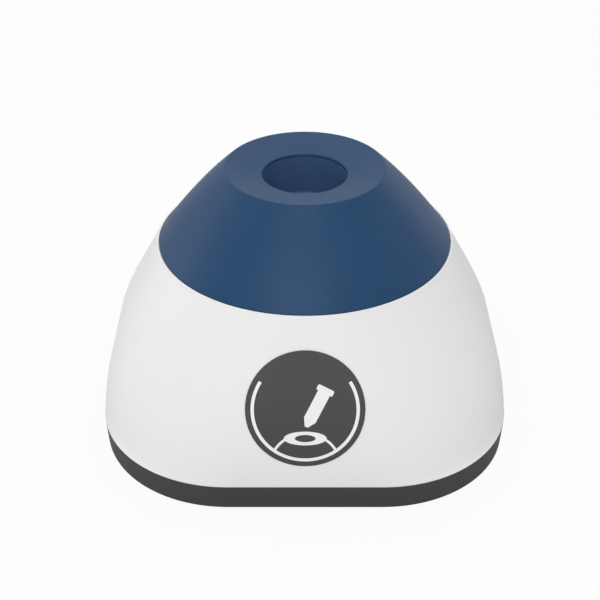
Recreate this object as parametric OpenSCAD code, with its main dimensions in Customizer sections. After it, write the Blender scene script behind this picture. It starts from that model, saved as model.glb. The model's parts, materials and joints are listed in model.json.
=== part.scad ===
// Touch-start vortex mixer. Millimetres, +Z up, front towards -Y.
// The origin is on the surface that the mixer stands on, at the middle of its box.

/* [Housing] */
// Half width of the housing at the parting line
housing_half_w = 50.4; // [49:0.1:54]
// How far the base pan's sides draw in on the way down to its underside
base_draft = 0.4; // [0:0.1:1.5]
// Half length of the straight run of each side at the parting line
side_flat = 18.2; // [14:0.1:21]
// Height of the base pan's visible band
base_h = 6.6; // [6:0.1:8]
// Height of the shell, from the parting line to its top edge
shell_h = 38; // [37:0.1:42]
// Radius of the shell's round top edge
shell_top_r = 37; // [36.9:0.1:38]
// Lean of the shell's side at its top edge, in degrees from upright
shell_top_lean = 25.4; // [22:0.1:28]
// Upright pull at the foot of the shell's side curve
shell_foot_pull = 13.2; // [10:0.1:16]
// Leaning pull at the top of the shell's side curve
shell_top_pull = 17.6; // [15:0.1:19]
// How fast the straight runs shorten on the way up: 1 is evenly
flat_fade = 0.77; // [0.6:0.01:1.2]
// Wall of the shell
shell_wall = 2.2; // [1.8:0.1:2.6]
// Thickness of the shell's flat top deck
deck_t = 2.4; // [2:0.1:3]
// Radius of the opening in the deck
deck_opening_r = 20; // [17:0.5:22]
// Wall of the base pan
pan_wall = 2.5; // [2:0.1:3]
// Thickness of the base pan's floor
pan_floor = 2.5; // [2.5:0.1:3]

/* [Feet and ballast] */
// How far the suction feet stand out below the base pan
foot_proud = 2; // [1.6:0.1:3]
// Radius of a suction foot
foot_r = 7.5; // [6:0.1:9]
// Distance of each foot from both centre planes
foot_place = 31; // [29:0.1:33]
// Radius of the hollow under a suction foot
foot_hollow_r = 5.6; // [4.5:0.1:5.8]
// Depth of the hollow under a suction foot
foot_hollow_depth = 1; // [0.6:0.1:1.2]
// Half width of the ballast plate
ballast_half_w = 37; // [35:0.1:38]
// Thickness of the ballast plate
ballast_t = 6; // [5:0.1:6.5]
// Radius of the hole in the ballast plate, below the motor
ballast_hole_r = 17; // [15.5:0.1:17.5]

/* [Boot] */
// Gap between the boot's foot and the shell's top edge
boot_gap = 0.7; // [0.6:0.05:1]
// Outer radius of the boot's foot
boot_foot_r = 36.6; // [36:0.1:37]
// Height of the boot, from its foot to the edge of its top face
boot_rise = 18.1; // [17.5:0.1:20]
// Radius of the boot's top face
boot_top_r = 19.7; // [19.2:0.1:21]
// Outward bow of the boot's flank, at half its height
boot_bow = 0.8; // [0:0.1:1.5]
// Wall of the boot
boot_wall = 2; // [1.6:0.1:2.4]
// Thickness of the boot's top face
boot_top_wall = 1; // [0.8:0.1:1.3]
// How far the top face falls towards its mouth
dish_depth = 1.9; // [1:0.1:2.5]
// Radius of the mouth in the boot's top face
mouth_r = 10.6; // [10.5:0.1:11]
// Height of the bead inside the boot's foot
bead_h = 1.6; // [1.2:0.1:2]

/* [Tube cup] */
// Radius of the well that a tube goes into
well_r = 10.4; // [9.6:0.1:10.4]
// Wall of the well
well_wall = 2.2; // [1.8:0.1:2.6]
// Thickness of the well's floor
well_floor_t = 1.6; // [1.4:0.1:2.2]
// Radius of the flange that backs the boot's top face
cup_flange_r = 17.5; // [16:0.1:18]
// Thickness of that flange
cup_flange_t = 2.2; // [1.8:0.1:2.6]
// Radius of the hub below the well
hub_r = 9; // [8.4:0.1:10]
// Number of gussets between the flange and the well
gusset_count = 6; // [4:1:8]

/* [Drive] */
// Orbit radius: how far the crank pin stands off the motor's axis
orbit_r = 2; // [1.5:0.1:2.3]
// How far the drive goes down when the cup is pressed
press_travel = 0.4; // [0.2:0.05:0.4]
// Radius of the crank pin
pin_r = 2.5; // [2:0.05:2.5]
// Radius of the crank's hub
crank_hub_r = 7; // [6.4:0.1:8]
// Height of the crank's hub
crank_h = 6.5; // [6:0.1:7]
// Outer radius of the counterweight
counterweight_r = 13; // [11:0.1:15]
// Radius of the motor's shaft
shaft_r = 1.6; // [1.4:0.05:1.8]
// Radius of the motor can
can_r = 14; // [13:0.1:14.4]
// Length of the motor can
can_len = 19.5; // [18.5:0.1:19.8]
// Wall of the motor can
can_wall = 1.2; // [0.8:0.1:1.5]
// Thickness of the carriage plate
plate_t = 3; // [2.6:0.1:3.2]
// Half width of the carriage plate
plate_half_w = 25.5; // [24.5:0.1:27]
// Distance of each guide post from both centre planes
post_place = 18.6; // [18:0.1:19.5]
// Radius of a guide post
post_r = 2; // [1.8:0.05:2.2]
// Turns of a return spring
spring_turns = 7; // [5:1:9]
// Radius of a return spring's wire
spring_wire_r = 0.4; // [0.3:0.05:0.5]

/* [Cup bearing] */
// Outer radius of the ball bearing
bearing_r = 6.5; // [6.3:0.1:6.8]
// Width of the ball bearing
bearing_w = 4; // [3.6:0.1:4.2]
// Radius of a bearing ball
ball_r = 1.19; // [1:0.01:1.2]
// Number of balls
ball_count = 7; // [6:1:8]

/* [Electrics] */
// Half width of the control board
board_half_w = 19; // [18:0.1:21]
// Thickness of the control board
board_t = 1.6; // [1.2:0.1:2]
// Radius of the power socket's plug hole, for a 5.5 mm plug
plug_r = 2.85; // [2.75:0.05:3]
// Radius of the power socket's centre pin
plug_pin_r = 1.05; // [0.8:0.05:1.25]
// Radius of a lead
lead_r = 0.6; // [0.4:0.05:0.7]

/* [Badge] */
// Radius of the badge film on the front
badge_r = 13.8; // [11:0.1:14.5]
// Thickness of the badge film
badge_t = 0.25; // [0.2:0.05:0.4]
// Height of the badge film's middle above the parting line
badge_rise = 19.4; // [18:0.1:21]

/* [Hidden] */
$fn = 64;

// Clearances
slip = 0.05;           // running fit, on the radius
seat = 0.02;           // fixed fit, on the radius
soft_gap = 0.3;        // rubber beside a rigid piece
cut = 1;               // how far a cutting tool runs past the face that it cuts

base_half_w = housing_half_w - base_draft;

// Heights, from the standing surface up
pan_z = foot_proud;
pan_floor_z = pan_z + pan_floor;
split_z = pan_z + base_h;
ballast_top_z = pan_floor_z + ballast_t;
shell_top_z = split_z + shell_h;
deck_under_z = shell_top_z - deck_t;
crank_top_z = deck_under_z - 0.8;
crank_z = crank_top_z - crank_h;
plate_top_z = crank_z - 1.5;
plate_z = plate_top_z - plate_t;
can_z = plate_z - can_len;
end_cap_t = 1.5;
end_cap_z = can_z - end_cap_t;
terminal_len = 3;
bearing_z = crank_top_z + 1.2;
bearing_top_z = bearing_z + bearing_w;
hub_z = crank_top_z + 0.4;
hub_cavity_z = bearing_top_z + 1.4;
well_z = hub_cavity_z + well_floor_t;
boot_foot_z = shell_top_z + boot_gap;
boot_top_z = boot_foot_z + boot_rise;
mouth_z = boot_top_z - dish_depth;
dish_slope = dish_depth / (boot_top_r - mouth_r);
cup_top_z = mouth_z - boot_top_wall - soft_gap;
flange_edge_z = cup_top_z + dish_slope * (cup_flange_r - well_r);

// Fasteners: M3 and M2
m3_r = 1.5;
m3_head_r = 2.8;
m3_head_h = 2;
m2_r = 1;
m2_head_r = 1.9;
m2_head_h = 1.3;

// ---- Housing outline -------------------------------------------------------

corner_steps = 12;
flat_least = 0.05;
shell_rings = 16;
cavity_rings = 8;

// The side curve is a cubic from the parting line up to the top edge, as [half width, height].
side_curve = [
    [housing_half_w, split_z],
    [housing_half_w, split_z + shell_foot_pull],
    [shell_top_r + shell_top_pull * sin(shell_top_lean), shell_top_z - shell_top_pull * cos(shell_top_lean)],
    [shell_top_r, shell_top_z]
];

function cubic(p, t) =
    pow(1 - t, 3) * p[0] + 3 * t * pow(1 - t, 2) * p[1] + 3 * t * t * (1 - t) * p[2] + pow(t, 3) * p[3];

function curve_place(z, low = 0, high = 1, steps = 26) =
    let (mid = (low + high) / 2)
    steps == 0 ? mid
    : cubic(side_curve, mid)[1] < z ? curve_place(z, mid, high, steps - 1)
    : curve_place(z, low, mid, steps - 1);

function shell_half_w(z) = cubic(side_curve, curve_place(z))[0];

function climb(z) = min(1, max(0, (z - split_z) / shell_h));

function flat_half(z) = flat_least + (side_flat - flat_least) * (1 - pow(climb(z), flat_fade));

// Lean of the side at a height, in degrees from upright
function side_lean(z) = atan(shell_half_w(z - 0.5) - shell_half_w(z + 0.5));

// A square of the given half width whose straight runs have the half length flat, at height z
function ring(half_w, flat, z) = [
    for (corner = [0:3])
        for (i = [0:corner_steps])
            let (
                turn = corner * 90 + i * 90 / corner_steps,
                x = corner == 0 || corner == 3 ? flat : -flat,
                y = corner < 2 ? flat : -flat
            )
            [x + (half_w - flat) * cos(turn), y + (half_w - flat) * sin(turn), z]
];

// A closed solid through rings that all have as many points, from the lowest up
module loft(rings) {
    n = len(rings[0]);
    last = len(rings) - 1;
    starts = [for (k = [0:last - 1]) k * n];
    polyhedron(
        points = [for (r = rings) for (p = r) p],
        faces = concat(
            [[for (i = [0:n - 1]) i]],
            [for (k = starts) for (i = [0:n - 1]) [k + i, k + n + i, k + n + (i + 1) % n]],
            [for (k = starts) for (i = [0:n - 1]) [k + i, k + n + (i + 1) % n, k + (i + 1) % n]],
            [[for (i = [n - 1:-1:0]) last * n + i]]
        ),
        convexity = 4
    );
}

// Height of the shell's ring number k, from 0 at the parting line to shell_rings at the top edge
function ring_z(k) = split_z + shell_h * k / shell_rings;

// The shell's outer form, drawn in by inset (out where it is negative), from low_z to high_z
module shell_form(inset, low_z, high_z, steps) {
    loft([
        for (k = [0:steps])
            let (z = low_z + (high_z - low_z) * k / steps, half_w = shell_half_w(z) - inset)
            ring(half_w, min(flat_half(z), half_w - 1), z)
    ]);
}

module rounded_plate(half_w, corner_r, t) {
    linear_extrude(height = t) {
        square([2 * (half_w - corner_r), 2 * half_w], center = true);
        square([2 * half_w, 2 * (half_w - corner_r)], center = true);
        at_corners(half_w - corner_r) circle(r = corner_r);
    }
}

module at_corners(place) {
    for (x = [-place, place]) {
        for (y = [-place, place]) {
            translate([x, y, 0]) children();
        }
    }
}

module ring_of(r_out, r_in, z, h) {
    translate([0, 0, z]) {
        difference() {
            cylinder(r = r_out, h = h);
            translate([0, 0, -cut]) cylinder(r = r_in, h = h + 2 * cut);
        }
    }
}

module rod(r, z, h) {
    translate([0, 0, z]) cylinder(r = r, h = h);
}

// A pan-head screw along +Z: the head sits on the origin's plane and the shank runs down from it
module screw(r, head_r, head_h, length) {
    difference() {
        union() {
            cylinder(r = head_r, h = head_h);
            translate([0, 0, -length]) cylinder(r = r, h = length + head_h / 2);
        }
        translate([0, 0, head_h * 0.45]) cylinder(r = r * 0.75, h = head_h, $fn = 6);
    }
}

// ---- Housing ---------------------------------------------------------------

// Shell screws: two beside each side wall, clear of the ballast plate
shell_screw_x = ballast_half_w + 4.6;
shell_screw_y = 15;
boss_r = 3.8;
boss_z = ballast_top_z + 0.1;
boss_h = 16;
boss_top_z = boss_z + boss_h;
web_reach = 8;

module at_shell_screws() {
    for (x = [-shell_screw_x, shell_screw_x]) {
        for (y = [-shell_screw_y, shell_screw_y]) {
            translate([x, y, 0]) children();
        }
    }
}

// Collar on the deck, whose lip holds the boot's bead down
collar_r = 28.2;
collar_in_r = collar_r - 2.2;
lip_r = collar_r + 1.8;
lip_z = boot_foot_z + bead_h + 0.4;
lip_h = 1.2;
bead_r = collar_r + 0.4;

// Power socket at the back, and the control board that it stands on. Both go with the housing's wall.
jack_half_w = 4.5;
jack_len = 12.5;
jack_h = 10;
jack_axis_rise = 6;
jack_nose_r = 4.2;
jack_nose_len = 3.9;
jack_hole_r = jack_nose_r + 0.35;
jack_recess = 0.6;
jack_overhang = 1;
board_z = ballast_top_z + 3.5;
board_top_z = board_z + board_t;
jack_z = board_top_z + jack_axis_rise;
jack_end_y = shell_half_w(jack_z) - jack_recess;
jack_back_y = jack_end_y - jack_nose_len;
board_back_y = jack_back_y - jack_overhang;
spring_r = post_r + 1.3;
board_front_y = post_place + spring_r + spring_wire_r + 2.7;
board_depth = board_back_y - board_front_y;

// Badge: the place on the leaning front that the film is centred on, facing outwards
badge_z = split_z + badge_rise;

module at_badge() {
    translate([0, -shell_half_w(badge_z), badge_z]) {
        rotate([90 - side_lean(badge_z), 0, 0]) children();
    }
}

module shell_blank() {
    intersection() {
        union() {
            difference() {
                shell_form(0, split_z, shell_top_z, shell_rings);
                shell_form(shell_wall, split_z - 0.01, deck_under_z, cavity_rings);
            }
            at_shell_screws() rod(boss_r, boss_z, boss_h);
            for (side = [-1, 1]) {
                for (y = [-shell_screw_y, shell_screw_y]) {
                    translate([side * (shell_screw_x + web_reach / 2), y, (web_z + boss_top_z) / 2]) {
                        cube([web_reach, shell_wall, boss_top_z - web_z], center = true);
                    }
                }
            }
        }
        shell_form(0, split_z, shell_top_z, shell_rings);
    }
}

module main_shell() {
    color([0.92, 0.92, 0.92]) {
        difference() {
            union() {
                shell_blank();
                ring_of(collar_r, collar_in_r, shell_top_z - 0.5, lip_z + lip_h - shell_top_z + 0.5);
                ring_of(lip_r, collar_in_r, lip_z, lip_h);
            }
            rod(deck_opening_r, deck_under_z - cut, deck_t + 2 * cut);
            at_shell_screws() rod(m3_r + seat, boss_z - cut, 11 + cut);
            translate([0, jack_back_y, jack_z]) {
                rotate([-90, 0, 0]) cylinder(r = jack_hole_r, h = housing_half_w - jack_back_y + cut);
            }
        }
    }
}

tongue_gap = 0.2;
tongue_wall = 1.6;
tongue_inset = shell_wall + tongue_gap;
tongue_top_z = split_z + 2.2;
web_z = tongue_top_z + 0.2;
pan_screw_head_z = pan_z + 3;

// The pan's outer form, drawn in by inset, through the given heights. Above the parting line it is upright.
module pan_form(inset, heights) {
    loft([
        for (z = heights)
            ring(base_half_w + base_draft * min(1, (z - pan_z) / base_h) - inset, flat_half(z), z)
    ]);
}

module base_pan() {
    color([0.27, 0.27, 0.28]) {
        difference() {
            union() {
                difference() {
                    pan_form(0, [pan_z, split_z]);
                    pan_form(pan_wall, [pan_floor_z, split_z, split_z + cut]);
                }
                difference() {
                    pan_form(tongue_inset, [pan_floor_z - 0.1, split_z, tongue_top_z]);
                    pan_form(tongue_inset + tongue_wall, [pan_floor_z - 0.2, split_z, tongue_top_z + cut]);
                    at_shell_screws() rod(boss_r + 0.3, pan_floor_z, tongue_top_z - pan_floor_z + cut);
                }
                at_shell_screws() rod(boss_r, pan_floor_z - 0.5, boss_z - pan_floor_z + 0.5);
            }
            at_shell_screws() {
                rod(m3_r + seat, pan_z - cut, boss_z);
                rod(m3_head_r + 0.3, pan_z - cut, pan_screw_head_z - pan_z + cut);
            }
            at_corners(foot_place) {
                rod(foot_r + 0.2, pan_z - cut, 1 + cut);
                rod(foot_stud_r + seat, pan_z - cut, pan_floor + 2 * cut);
            }
            at_corners(ballast_screw_place) {
                rod(m3_r + 0.2, pan_z - cut, pan_floor + 2 * cut);
                rod(m3_head_r + 0.2, pan_z - cut, ballast_screw_sink + cut);
            }
        }
    }
}

foot_stud_r = 2;
foot_stud_h = 1.8;
foot_recess = 1;

module suction_feet() {
    color([0.13, 0.13, 0.13]) {
        at_corners(foot_place) {
            difference() {
                union() {
                    cylinder(r = foot_r, h = foot_proud + foot_recess);
                    cylinder(r = foot_stud_r, h = pan_floor_z);
                }
                translate([0, 0, foot_hollow_depth - hollow_ball_r()]) sphere(r = hollow_ball_r());
            }
        }
    }
}

// The ball whose cap is as wide and as deep as the hollow under a foot
function hollow_ball_r() =
    (foot_hollow_r * foot_hollow_r + foot_hollow_depth * foot_hollow_depth) / (2 * foot_hollow_depth);

module base_screws() {
    color([0.6, 0.6, 0.62]) {
        at_shell_screws() {
            translate([0, 0, pan_screw_head_z]) {
                rotate([180, 0, 0]) screw(m3_r, m3_head_r, m3_head_h, boss_z - pan_screw_head_z + 8);
            }
        }
    }
}

// ---- Ballast and guides ----------------------------------------------------

switch_w = 6.4;
switch_x = -(can_r + 4.4 + switch_w / 2);
bracket_t = 1.2;
bracket_x = switch_x - switch_w / 2 - bracket_t / 2;
ballast_screw_place = 21.5;
ballast_screw_sink = 1.6;
post_seat = 4;
bush_flange_t = 0.8;
bush_r = post_r + 1.4;
bush_flange_r = post_r + 2.6;
bush_z = plate_z - bush_flange_t;
bush_top_z = plate_top_z + 0.3;
clip_t = 0.7;
clip_z = bush_top_z + slip;
post_top_z = clip_z + clip_t + 0.8;
standoff_x = 15.5;
standoff_edge = 2.6;
standoff_y = [board_front_y + standoff_edge, ballast_half_w - standoff_edge];
bracket_screw_x = bracket_x - 5;

module ballast_plate() {
    color([0.5, 0.5, 0.5]) {
        difference() {
            translate([0, 0, pan_floor_z]) rounded_plate(ballast_half_w, 10, ballast_t);
            rod(ballast_hole_r, pan_floor_z - cut, ballast_t + 2 * cut);
            at_corners(post_place) rod(post_r + seat, ballast_top_z - post_seat, post_seat + cut);
            at_corners(ballast_screw_place) rod(m3_r + seat, pan_floor_z - cut, 3.5 + cut);
            at_corners(foot_place) rod(foot_stud_r + 0.3, pan_floor_z - cut, 0.5 + cut);
            for (x = [-standoff_x, standoff_x]) {
                for (y = standoff_y) translate([x, y, 0]) rod(m2_r + seat, ballast_top_z - 3, 3 + cut);
            }
            translate([bracket_screw_x, 0, 0]) rod(m2_r + seat, ballast_top_z - 4, 4 + cut);
        }
    }
}

module ballast_screws() {
    color([0.6, 0.6, 0.62]) {
        at_corners(ballast_screw_place) {
            translate([0, 0, pan_z + ballast_screw_sink]) {
                rotate([180, 0, 0]) {
                    screw(m3_r, m3_head_r, ballast_screw_sink - 0.1, pan_floor + 3 - ballast_screw_sink);
                }
            }
        }
    }
}

module guide_posts() {
    color([0.75, 0.75, 0.77]) {
        at_corners(post_place) {
            difference() {
                rod(post_r, ballast_top_z - post_seat, post_top_z - ballast_top_z + post_seat);
                ring_of(post_r + cut, post_r - 0.5, clip_z, clip_t);
            }
        }
    }
}

module clip(r_out, r_in, mouth, z, t) {
    difference() {
        ring_of(r_out, r_in, z, t);
        translate([0, -r_out, z + t / 2]) cube([mouth, 2 * r_out, t + 2 * cut], center = true);
    }
}

module post_clips() {
    color([0.35, 0.35, 0.37]) {
        at_corners(post_place) clip(post_r + 1.8, post_r - 0.5 + seat, post_r * 1.3, clip_z, clip_t - seat);
    }
}

spring_low_z = ballast_top_z + spring_wire_r + slip;
spring_high_z = plate_z - bush_flange_t - spring_wire_r - slip;
spring_steps = 14;
wire_sides = 6;

module spring() {
    steps = spring_turns * spring_steps;
    loft([
        for (k = [0:steps])
            let (turn = 360 * k / spring_steps, z = spring_low_z + (spring_high_z - spring_low_z) * k / steps)
            [
                for (i = [0:wire_sides - 1])
                    let (a = 360 * i / wire_sides, r = spring_r + spring_wire_r * cos(a))
                    [r * cos(turn), r * sin(turn), z - spring_wire_r * sin(a)]
            ]
    ]);
}

module return_springs() {
    color([0.7, 0.7, 0.72]) at_corners(post_place) spring();
}

// ---- Carriage and motor ----------------------------------------------------

motor_screw_place = 8;
motor_boss_r = 4.5;
motor_boss_h = 2;
motor_screw_sink = 1.7;

module carriage_plate() {
    color([0.72, 0.72, 0.74]) {
        difference() {
            translate([0, 0, plate_z]) rounded_plate(plate_half_w, 6.5, plate_t);
            rod(motor_boss_r + seat, plate_z - cut, plate_t + 2 * cut);
            at_corners(post_place) rod(bush_r + seat, plate_z - cut, plate_t + 2 * cut);
            for (x = [-motor_screw_place, motor_screw_place]) {
                translate([x, 0, 0]) {
                    rod(m2_r + 0.15, plate_z - cut, plate_t + 2 * cut);
                    rod(m2_head_r + 0.2, plate_top_z - motor_screw_sink, motor_screw_sink + cut);
                }
            }
        }
    }
}

module guide_bushes() {
    color([0.72, 0.55, 0.3]) {
        at_corners(post_place) {
            difference() {
                union() {
                    rod(bush_r, bush_z, bush_top_z - bush_z);
                    rod(bush_flange_r, bush_z, bush_flange_t);
                }
                rod(post_r + slip, bush_z - cut, bush_top_z - bush_z + 2 * cut);
            }
        }
    }
}

module motor_can() {
    color([0.66, 0.66, 0.68]) {
        difference() {
            union() {
                rod(can_r, can_z, can_len);
                rod(motor_boss_r, can_z, can_len + motor_boss_h);
            }
            rod(can_r - can_wall, can_z - cut, can_len - can_wall + cut);
            rod(motor_bush_r + seat, can_z, can_len + motor_boss_h + cut);
            for (x = [-motor_screw_place, motor_screw_place]) {
                translate([x, 0, 0]) rod(m2_r + seat, can_z + can_len - can_wall - cut, can_wall + 2 * cut);
            }
        }
    }
}

motor_bush_r = 3;
motor_bush_len = 4;

module motor_bushing() {
    color([0.72, 0.55, 0.3]) {
        ring_of(motor_bush_r, shaft_r + slip, plate_z + motor_boss_h - motor_bush_len, motor_bush_len);
        ring_of(motor_bush_r, shaft_r + slip, can_z - end_cap_t + 0.4, 1.6);
    }
}

module motor_end_cap() {
    color([0.16, 0.16, 0.17]) {
        difference() {
            union() {
                rod(can_r, end_cap_z, end_cap_t);
                rod(can_r - can_wall - seat, can_z - 0.1, 2);
            }
            rod(motor_bush_r + seat, end_cap_z + 0.4, 4);
            rod(can_r - can_wall - 2.4, can_z + 0.3, 4);
            for (x = [-terminal_x, terminal_x]) {
                translate([x, terminal_y, end_cap_z]) {
                    cube([terminal_t + 2 * seat, terminal_w + 2 * seat, 8], center = true);
                }
            }
        }
    }
}

magnet_t = 2.2;
magnet_r = can_r - can_wall - seat;
magnet_z = can_z + 3.4;
magnet_h = can_len - can_wall - 6;

module motor_magnets() {
    color([0.25, 0.25, 0.26]) {
        difference() {
            ring_of(magnet_r, magnet_r - magnet_t, magnet_z, magnet_h);
            translate([0, 0, magnet_z + magnet_h / 2]) {
                cube([2 * can_r, 9, magnet_h + 2 * cut], center = true);
            }
        }
    }
}

module motor_screws() {
    color([0.6, 0.6, 0.62]) {
        for (x = [-motor_screw_place, motor_screw_place]) {
            translate([x, 0, plate_top_z - motor_screw_sink]) {
                screw(m2_r, m2_head_r, m2_head_h, plate_t - motor_screw_sink + can_wall);
            }
        }
    }
}

terminal_x = 5;
terminal_y = 9;
terminal_t = 0.5;
terminal_w = 2;

module motor_terminals() {
    color([0.8, 0.7, 0.45]) {
        for (x = [-terminal_x, terminal_x]) {
            translate([x, terminal_y, (end_cap_z - terminal_len + can_z) / 2]) {
                cube([terminal_t, terminal_w, can_z - end_cap_z + terminal_len], center = true);
            }
        }
    }
}

// ---- Rotor -----------------------------------------------------------------

shaft_low_z = can_z - end_cap_t + 0.6;
shaft_top_z = crank_top_z - 2.5;
armature_r = magnet_r - magnet_t - 0.5;
armature_z = magnet_z + 1;
armature_h = magnet_h - 2;
slot_count = 5;
flat_cut = 0.4;

module motor_shaft() {
    color([0.75, 0.75, 0.77]) {
        difference() {
            rod(shaft_r, shaft_low_z, shaft_top_z - shaft_low_z);
            translate([-shaft_r - cut, shaft_r - flat_cut, crank_z - cut]) {
                cube([2 * (shaft_r + cut), flat_cut + cut, shaft_top_z - crank_z + 2 * cut]);
            }
        }
    }
}

module motor_armature() {
    color([0.62, 0.4, 0.24]) {
        difference() {
            rod(armature_r, armature_z, armature_h);
            rod(shaft_r + seat, armature_z - cut, armature_h + 2 * cut);
            for (k = [0:slot_count - 1]) {
                rotate([0, 0, k * 360 / slot_count]) {
                    translate([armature_r, 0, armature_z + armature_h / 2]) {
                        cube([6, 1.6, armature_h + 2 * cut], center = true);
                    }
                    translate([armature_r - 3.6, 0, 0]) rod(1.7, armature_z - cut, armature_h + 2 * cut);
                }
            }
        }
    }
}

module motor_commutator() {
    color([0.75, 0.5, 0.3]) ring_of(3.2, shaft_r + seat, can_z + 0.8, armature_z - can_z - 1);
}

set_screw_rise = 2.4;

module eccentric_crank() {
    color([0.7, 0.7, 0.72]) {
        difference() {
            union() {
                rod(crank_hub_r, crank_z, crank_h);
                translate([0, orbit_r, 0]) {
                    rod(pin_r + 1, crank_top_z - 0.5, bearing_z - crank_top_z + 0.5);
                    rod(pin_r, crank_top_z - 0.5, hub_cavity_z - 0.3 - crank_top_z + 0.5);
                }
            }
            rod(shaft_r + seat, crank_z - cut, shaft_top_z + 0.3 - crank_z + cut);
            translate([0, 0, crank_z + set_screw_rise]) {
                rotate([-90, 0, 0]) cylinder(r = m3_r + seat, h = crank_hub_r + cut);
            }
            at_weight_screws() {
                translate([0, -crank_hub_r + weight_screw_depth + 0.2, 0]) {
                    rotate([90, 0, 0]) cylinder(r = m2_r + seat, h = weight_screw_depth + 0.2 + cut);
                }
            }
            translate([0, orbit_r, 0]) ring_of(pin_r + cut, pin_r - 0.4, bearing_top_z, pin_clip_t + 0.1);
        }
    }
}

pin_clip_t = 0.5;

module crank_set_screw() {
    color([0.2, 0.2, 0.21]) {
        difference() {
            translate([0, shaft_r - flat_cut + slip, crank_z + set_screw_rise]) {
                rotate([-90, 0, 0]) cylinder(r = m3_r, h = crank_hub_r - shaft_r - 0.3);
            }
            translate([0, crank_hub_r - 1.8, crank_z + set_screw_rise]) {
                rotate([-90, 0, 0]) cylinder(r = 0.8, h = 4, $fn = 6);
            }
        }
    }
}

weight_t = 3.2;
weight_z = crank_top_z - 0.2 - weight_t;

module counterweight() {
    color([0.72, 0.6, 0.32]) {
        difference() {
            rod(counterweight_r, weight_z, weight_t);
            rod(crank_hub_r + seat, weight_z - cut, weight_t + 2 * cut);
            translate([-counterweight_r - cut, -0.5, weight_z - cut]) {
                cube([2 * (counterweight_r + cut), counterweight_r + 2 * cut, weight_t + 2 * cut]);
            }
            at_weight_screws() rotate([90, 0, 0]) cylinder(r = m2_r + 0.1, h = counterweight_r + cut);
        }
    }
}

weight_screw_turn = 32;
weight_screw_depth = 2;
weight_screw_sink = 0.4;
weight_screw_len = counterweight_r - crank_hub_r + weight_screw_depth - weight_screw_sink;

module at_weight_screws() {
    for (turn = [-weight_screw_turn, weight_screw_turn]) {
        rotate([0, 0, turn]) translate([0, 0, weight_z + weight_t / 2]) children();
    }
}

module counterweight_screws() {
    color([0.2, 0.2, 0.21]) {
        at_weight_screws() {
            translate([0, -crank_hub_r + weight_screw_depth, 0]) {
                rotate([90, 0, 0]) {
                    cylinder(r = m2_r, h = weight_screw_len);
                }
            }
        }
    }
}

// ---- Cup bearing -----------------------------------------------------------

ball_ring_r = (pin_r + bearing_r) / 2;
race_r = ball_r + 0.04;
inner_ring_r = ball_ring_r - 0.8;
outer_ring_r = ball_ring_r + 0.8;
ball_z = bearing_z + bearing_w / 2;

module race() {
    translate([0, 0, ball_z]) rotate_extrude() translate([ball_ring_r, 0]) circle(r = race_r);
}

module bearing_inner_ring() {
    color([0.8, 0.8, 0.82]) {
        translate([0, orbit_r, 0]) {
            difference() {
                ring_of(inner_ring_r, pin_r + seat, bearing_z, bearing_w);
                race();
            }
        }
    }
}

module bearing_outer_ring() {
    color([0.8, 0.8, 0.82]) {
        translate([0, orbit_r, 0]) {
            difference() {
                ring_of(bearing_r, outer_ring_r, bearing_z, bearing_w);
                race();
            }
        }
    }
}

module at_balls() {
    translate([0, orbit_r, ball_z]) {
        for (k = [0:ball_count - 1]) {
            rotate([0, 0, k * 360 / ball_count]) translate([ball_ring_r, 0, 0]) children();
        }
    }
}

module bearing_balls() {
    color([0.85, 0.85, 0.87]) at_balls() sphere(r = ball_r);
}

module ball_cage() {
    color([0.35, 0.25, 0.15]) {
        difference() {
            translate([0, orbit_r, 0]) ring_of(ball_ring_r + 0.5, ball_ring_r - 0.5, ball_z - 1.6, 3.2);
            at_balls() {
                translate([-2, -ball_r - slip, -ball_r - slip]) cube([4, 2 * (ball_r + slip), 2 * bearing_w]);
            }
        }
    }
}

module pin_clip() {
    color([0.35, 0.35, 0.37]) {
        translate([0, orbit_r, 0]) {
            clip(pin_r + 1.2, pin_r - 0.4 + seat, pin_r * 1.3, bearing_top_z + seat, pin_clip_t);
        }
    }
}

hub_circlip_t = 0.5;
hub_groove_h = hub_circlip_t + 0.06;

module hub_circlip() {
    color([0.35, 0.35, 0.37]) {
        translate([0, orbit_r, 0]) {
            clip(bearing_r + 0.4, bearing_r - 0.8, 3, bearing_z - hub_circlip_t - seat, hub_circlip_t);
        }
    }
}

// ---- Tube cup and boot -----------------------------------------------------

cup_profile = [
    [0, hub_cavity_z],
    [bearing_r - 0.9, hub_cavity_z],
    [bearing_r - 0.9, bearing_top_z],
    [bearing_r + seat, bearing_top_z],
    [bearing_r + seat, hub_z],
    [hub_r, hub_z],
    [hub_r, hub_cavity_z],
    [well_r + well_wall, well_z + 2],
    [well_r + well_wall, cup_top_z - cup_flange_t],
    [cup_flange_r, flange_edge_z - cup_flange_t],
    [cup_flange_r, flange_edge_z],
    [well_r, cup_top_z],
    [well_r, well_z + 0.8],
    [well_r * 0.3, well_z],
    [0, well_z]
];

module tube_cup() {
    color([0.15, 0.25, 0.4]) {
        translate([0, orbit_r, 0]) {
            difference() {
                rotate_extrude() polygon(cup_profile);
                ring_of(bearing_r + 0.42, bearing_r - 1, bearing_z - hub_groove_h, hub_groove_h);
            }
            for (k = [0:gusset_count - 1]) {
                rotate([90, 0, (k + 0.5) * 360 / gusset_count]) {
                    linear_extrude(height = 1.6, center = true) {
                        polygon([
                            [well_r + well_wall - 0.5, cup_top_z - cup_flange_t + 0.2],
                            [cup_flange_r - 1, cup_top_z - cup_flange_t + 0.5],
                            [well_r + well_wall - 0.5, well_z + 3.5]
                        ]);
                    }
                }
            }
        }
    }
}

flank_steps = 9;
boot_columns = 60;
boot_edge = 0.5;

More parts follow.
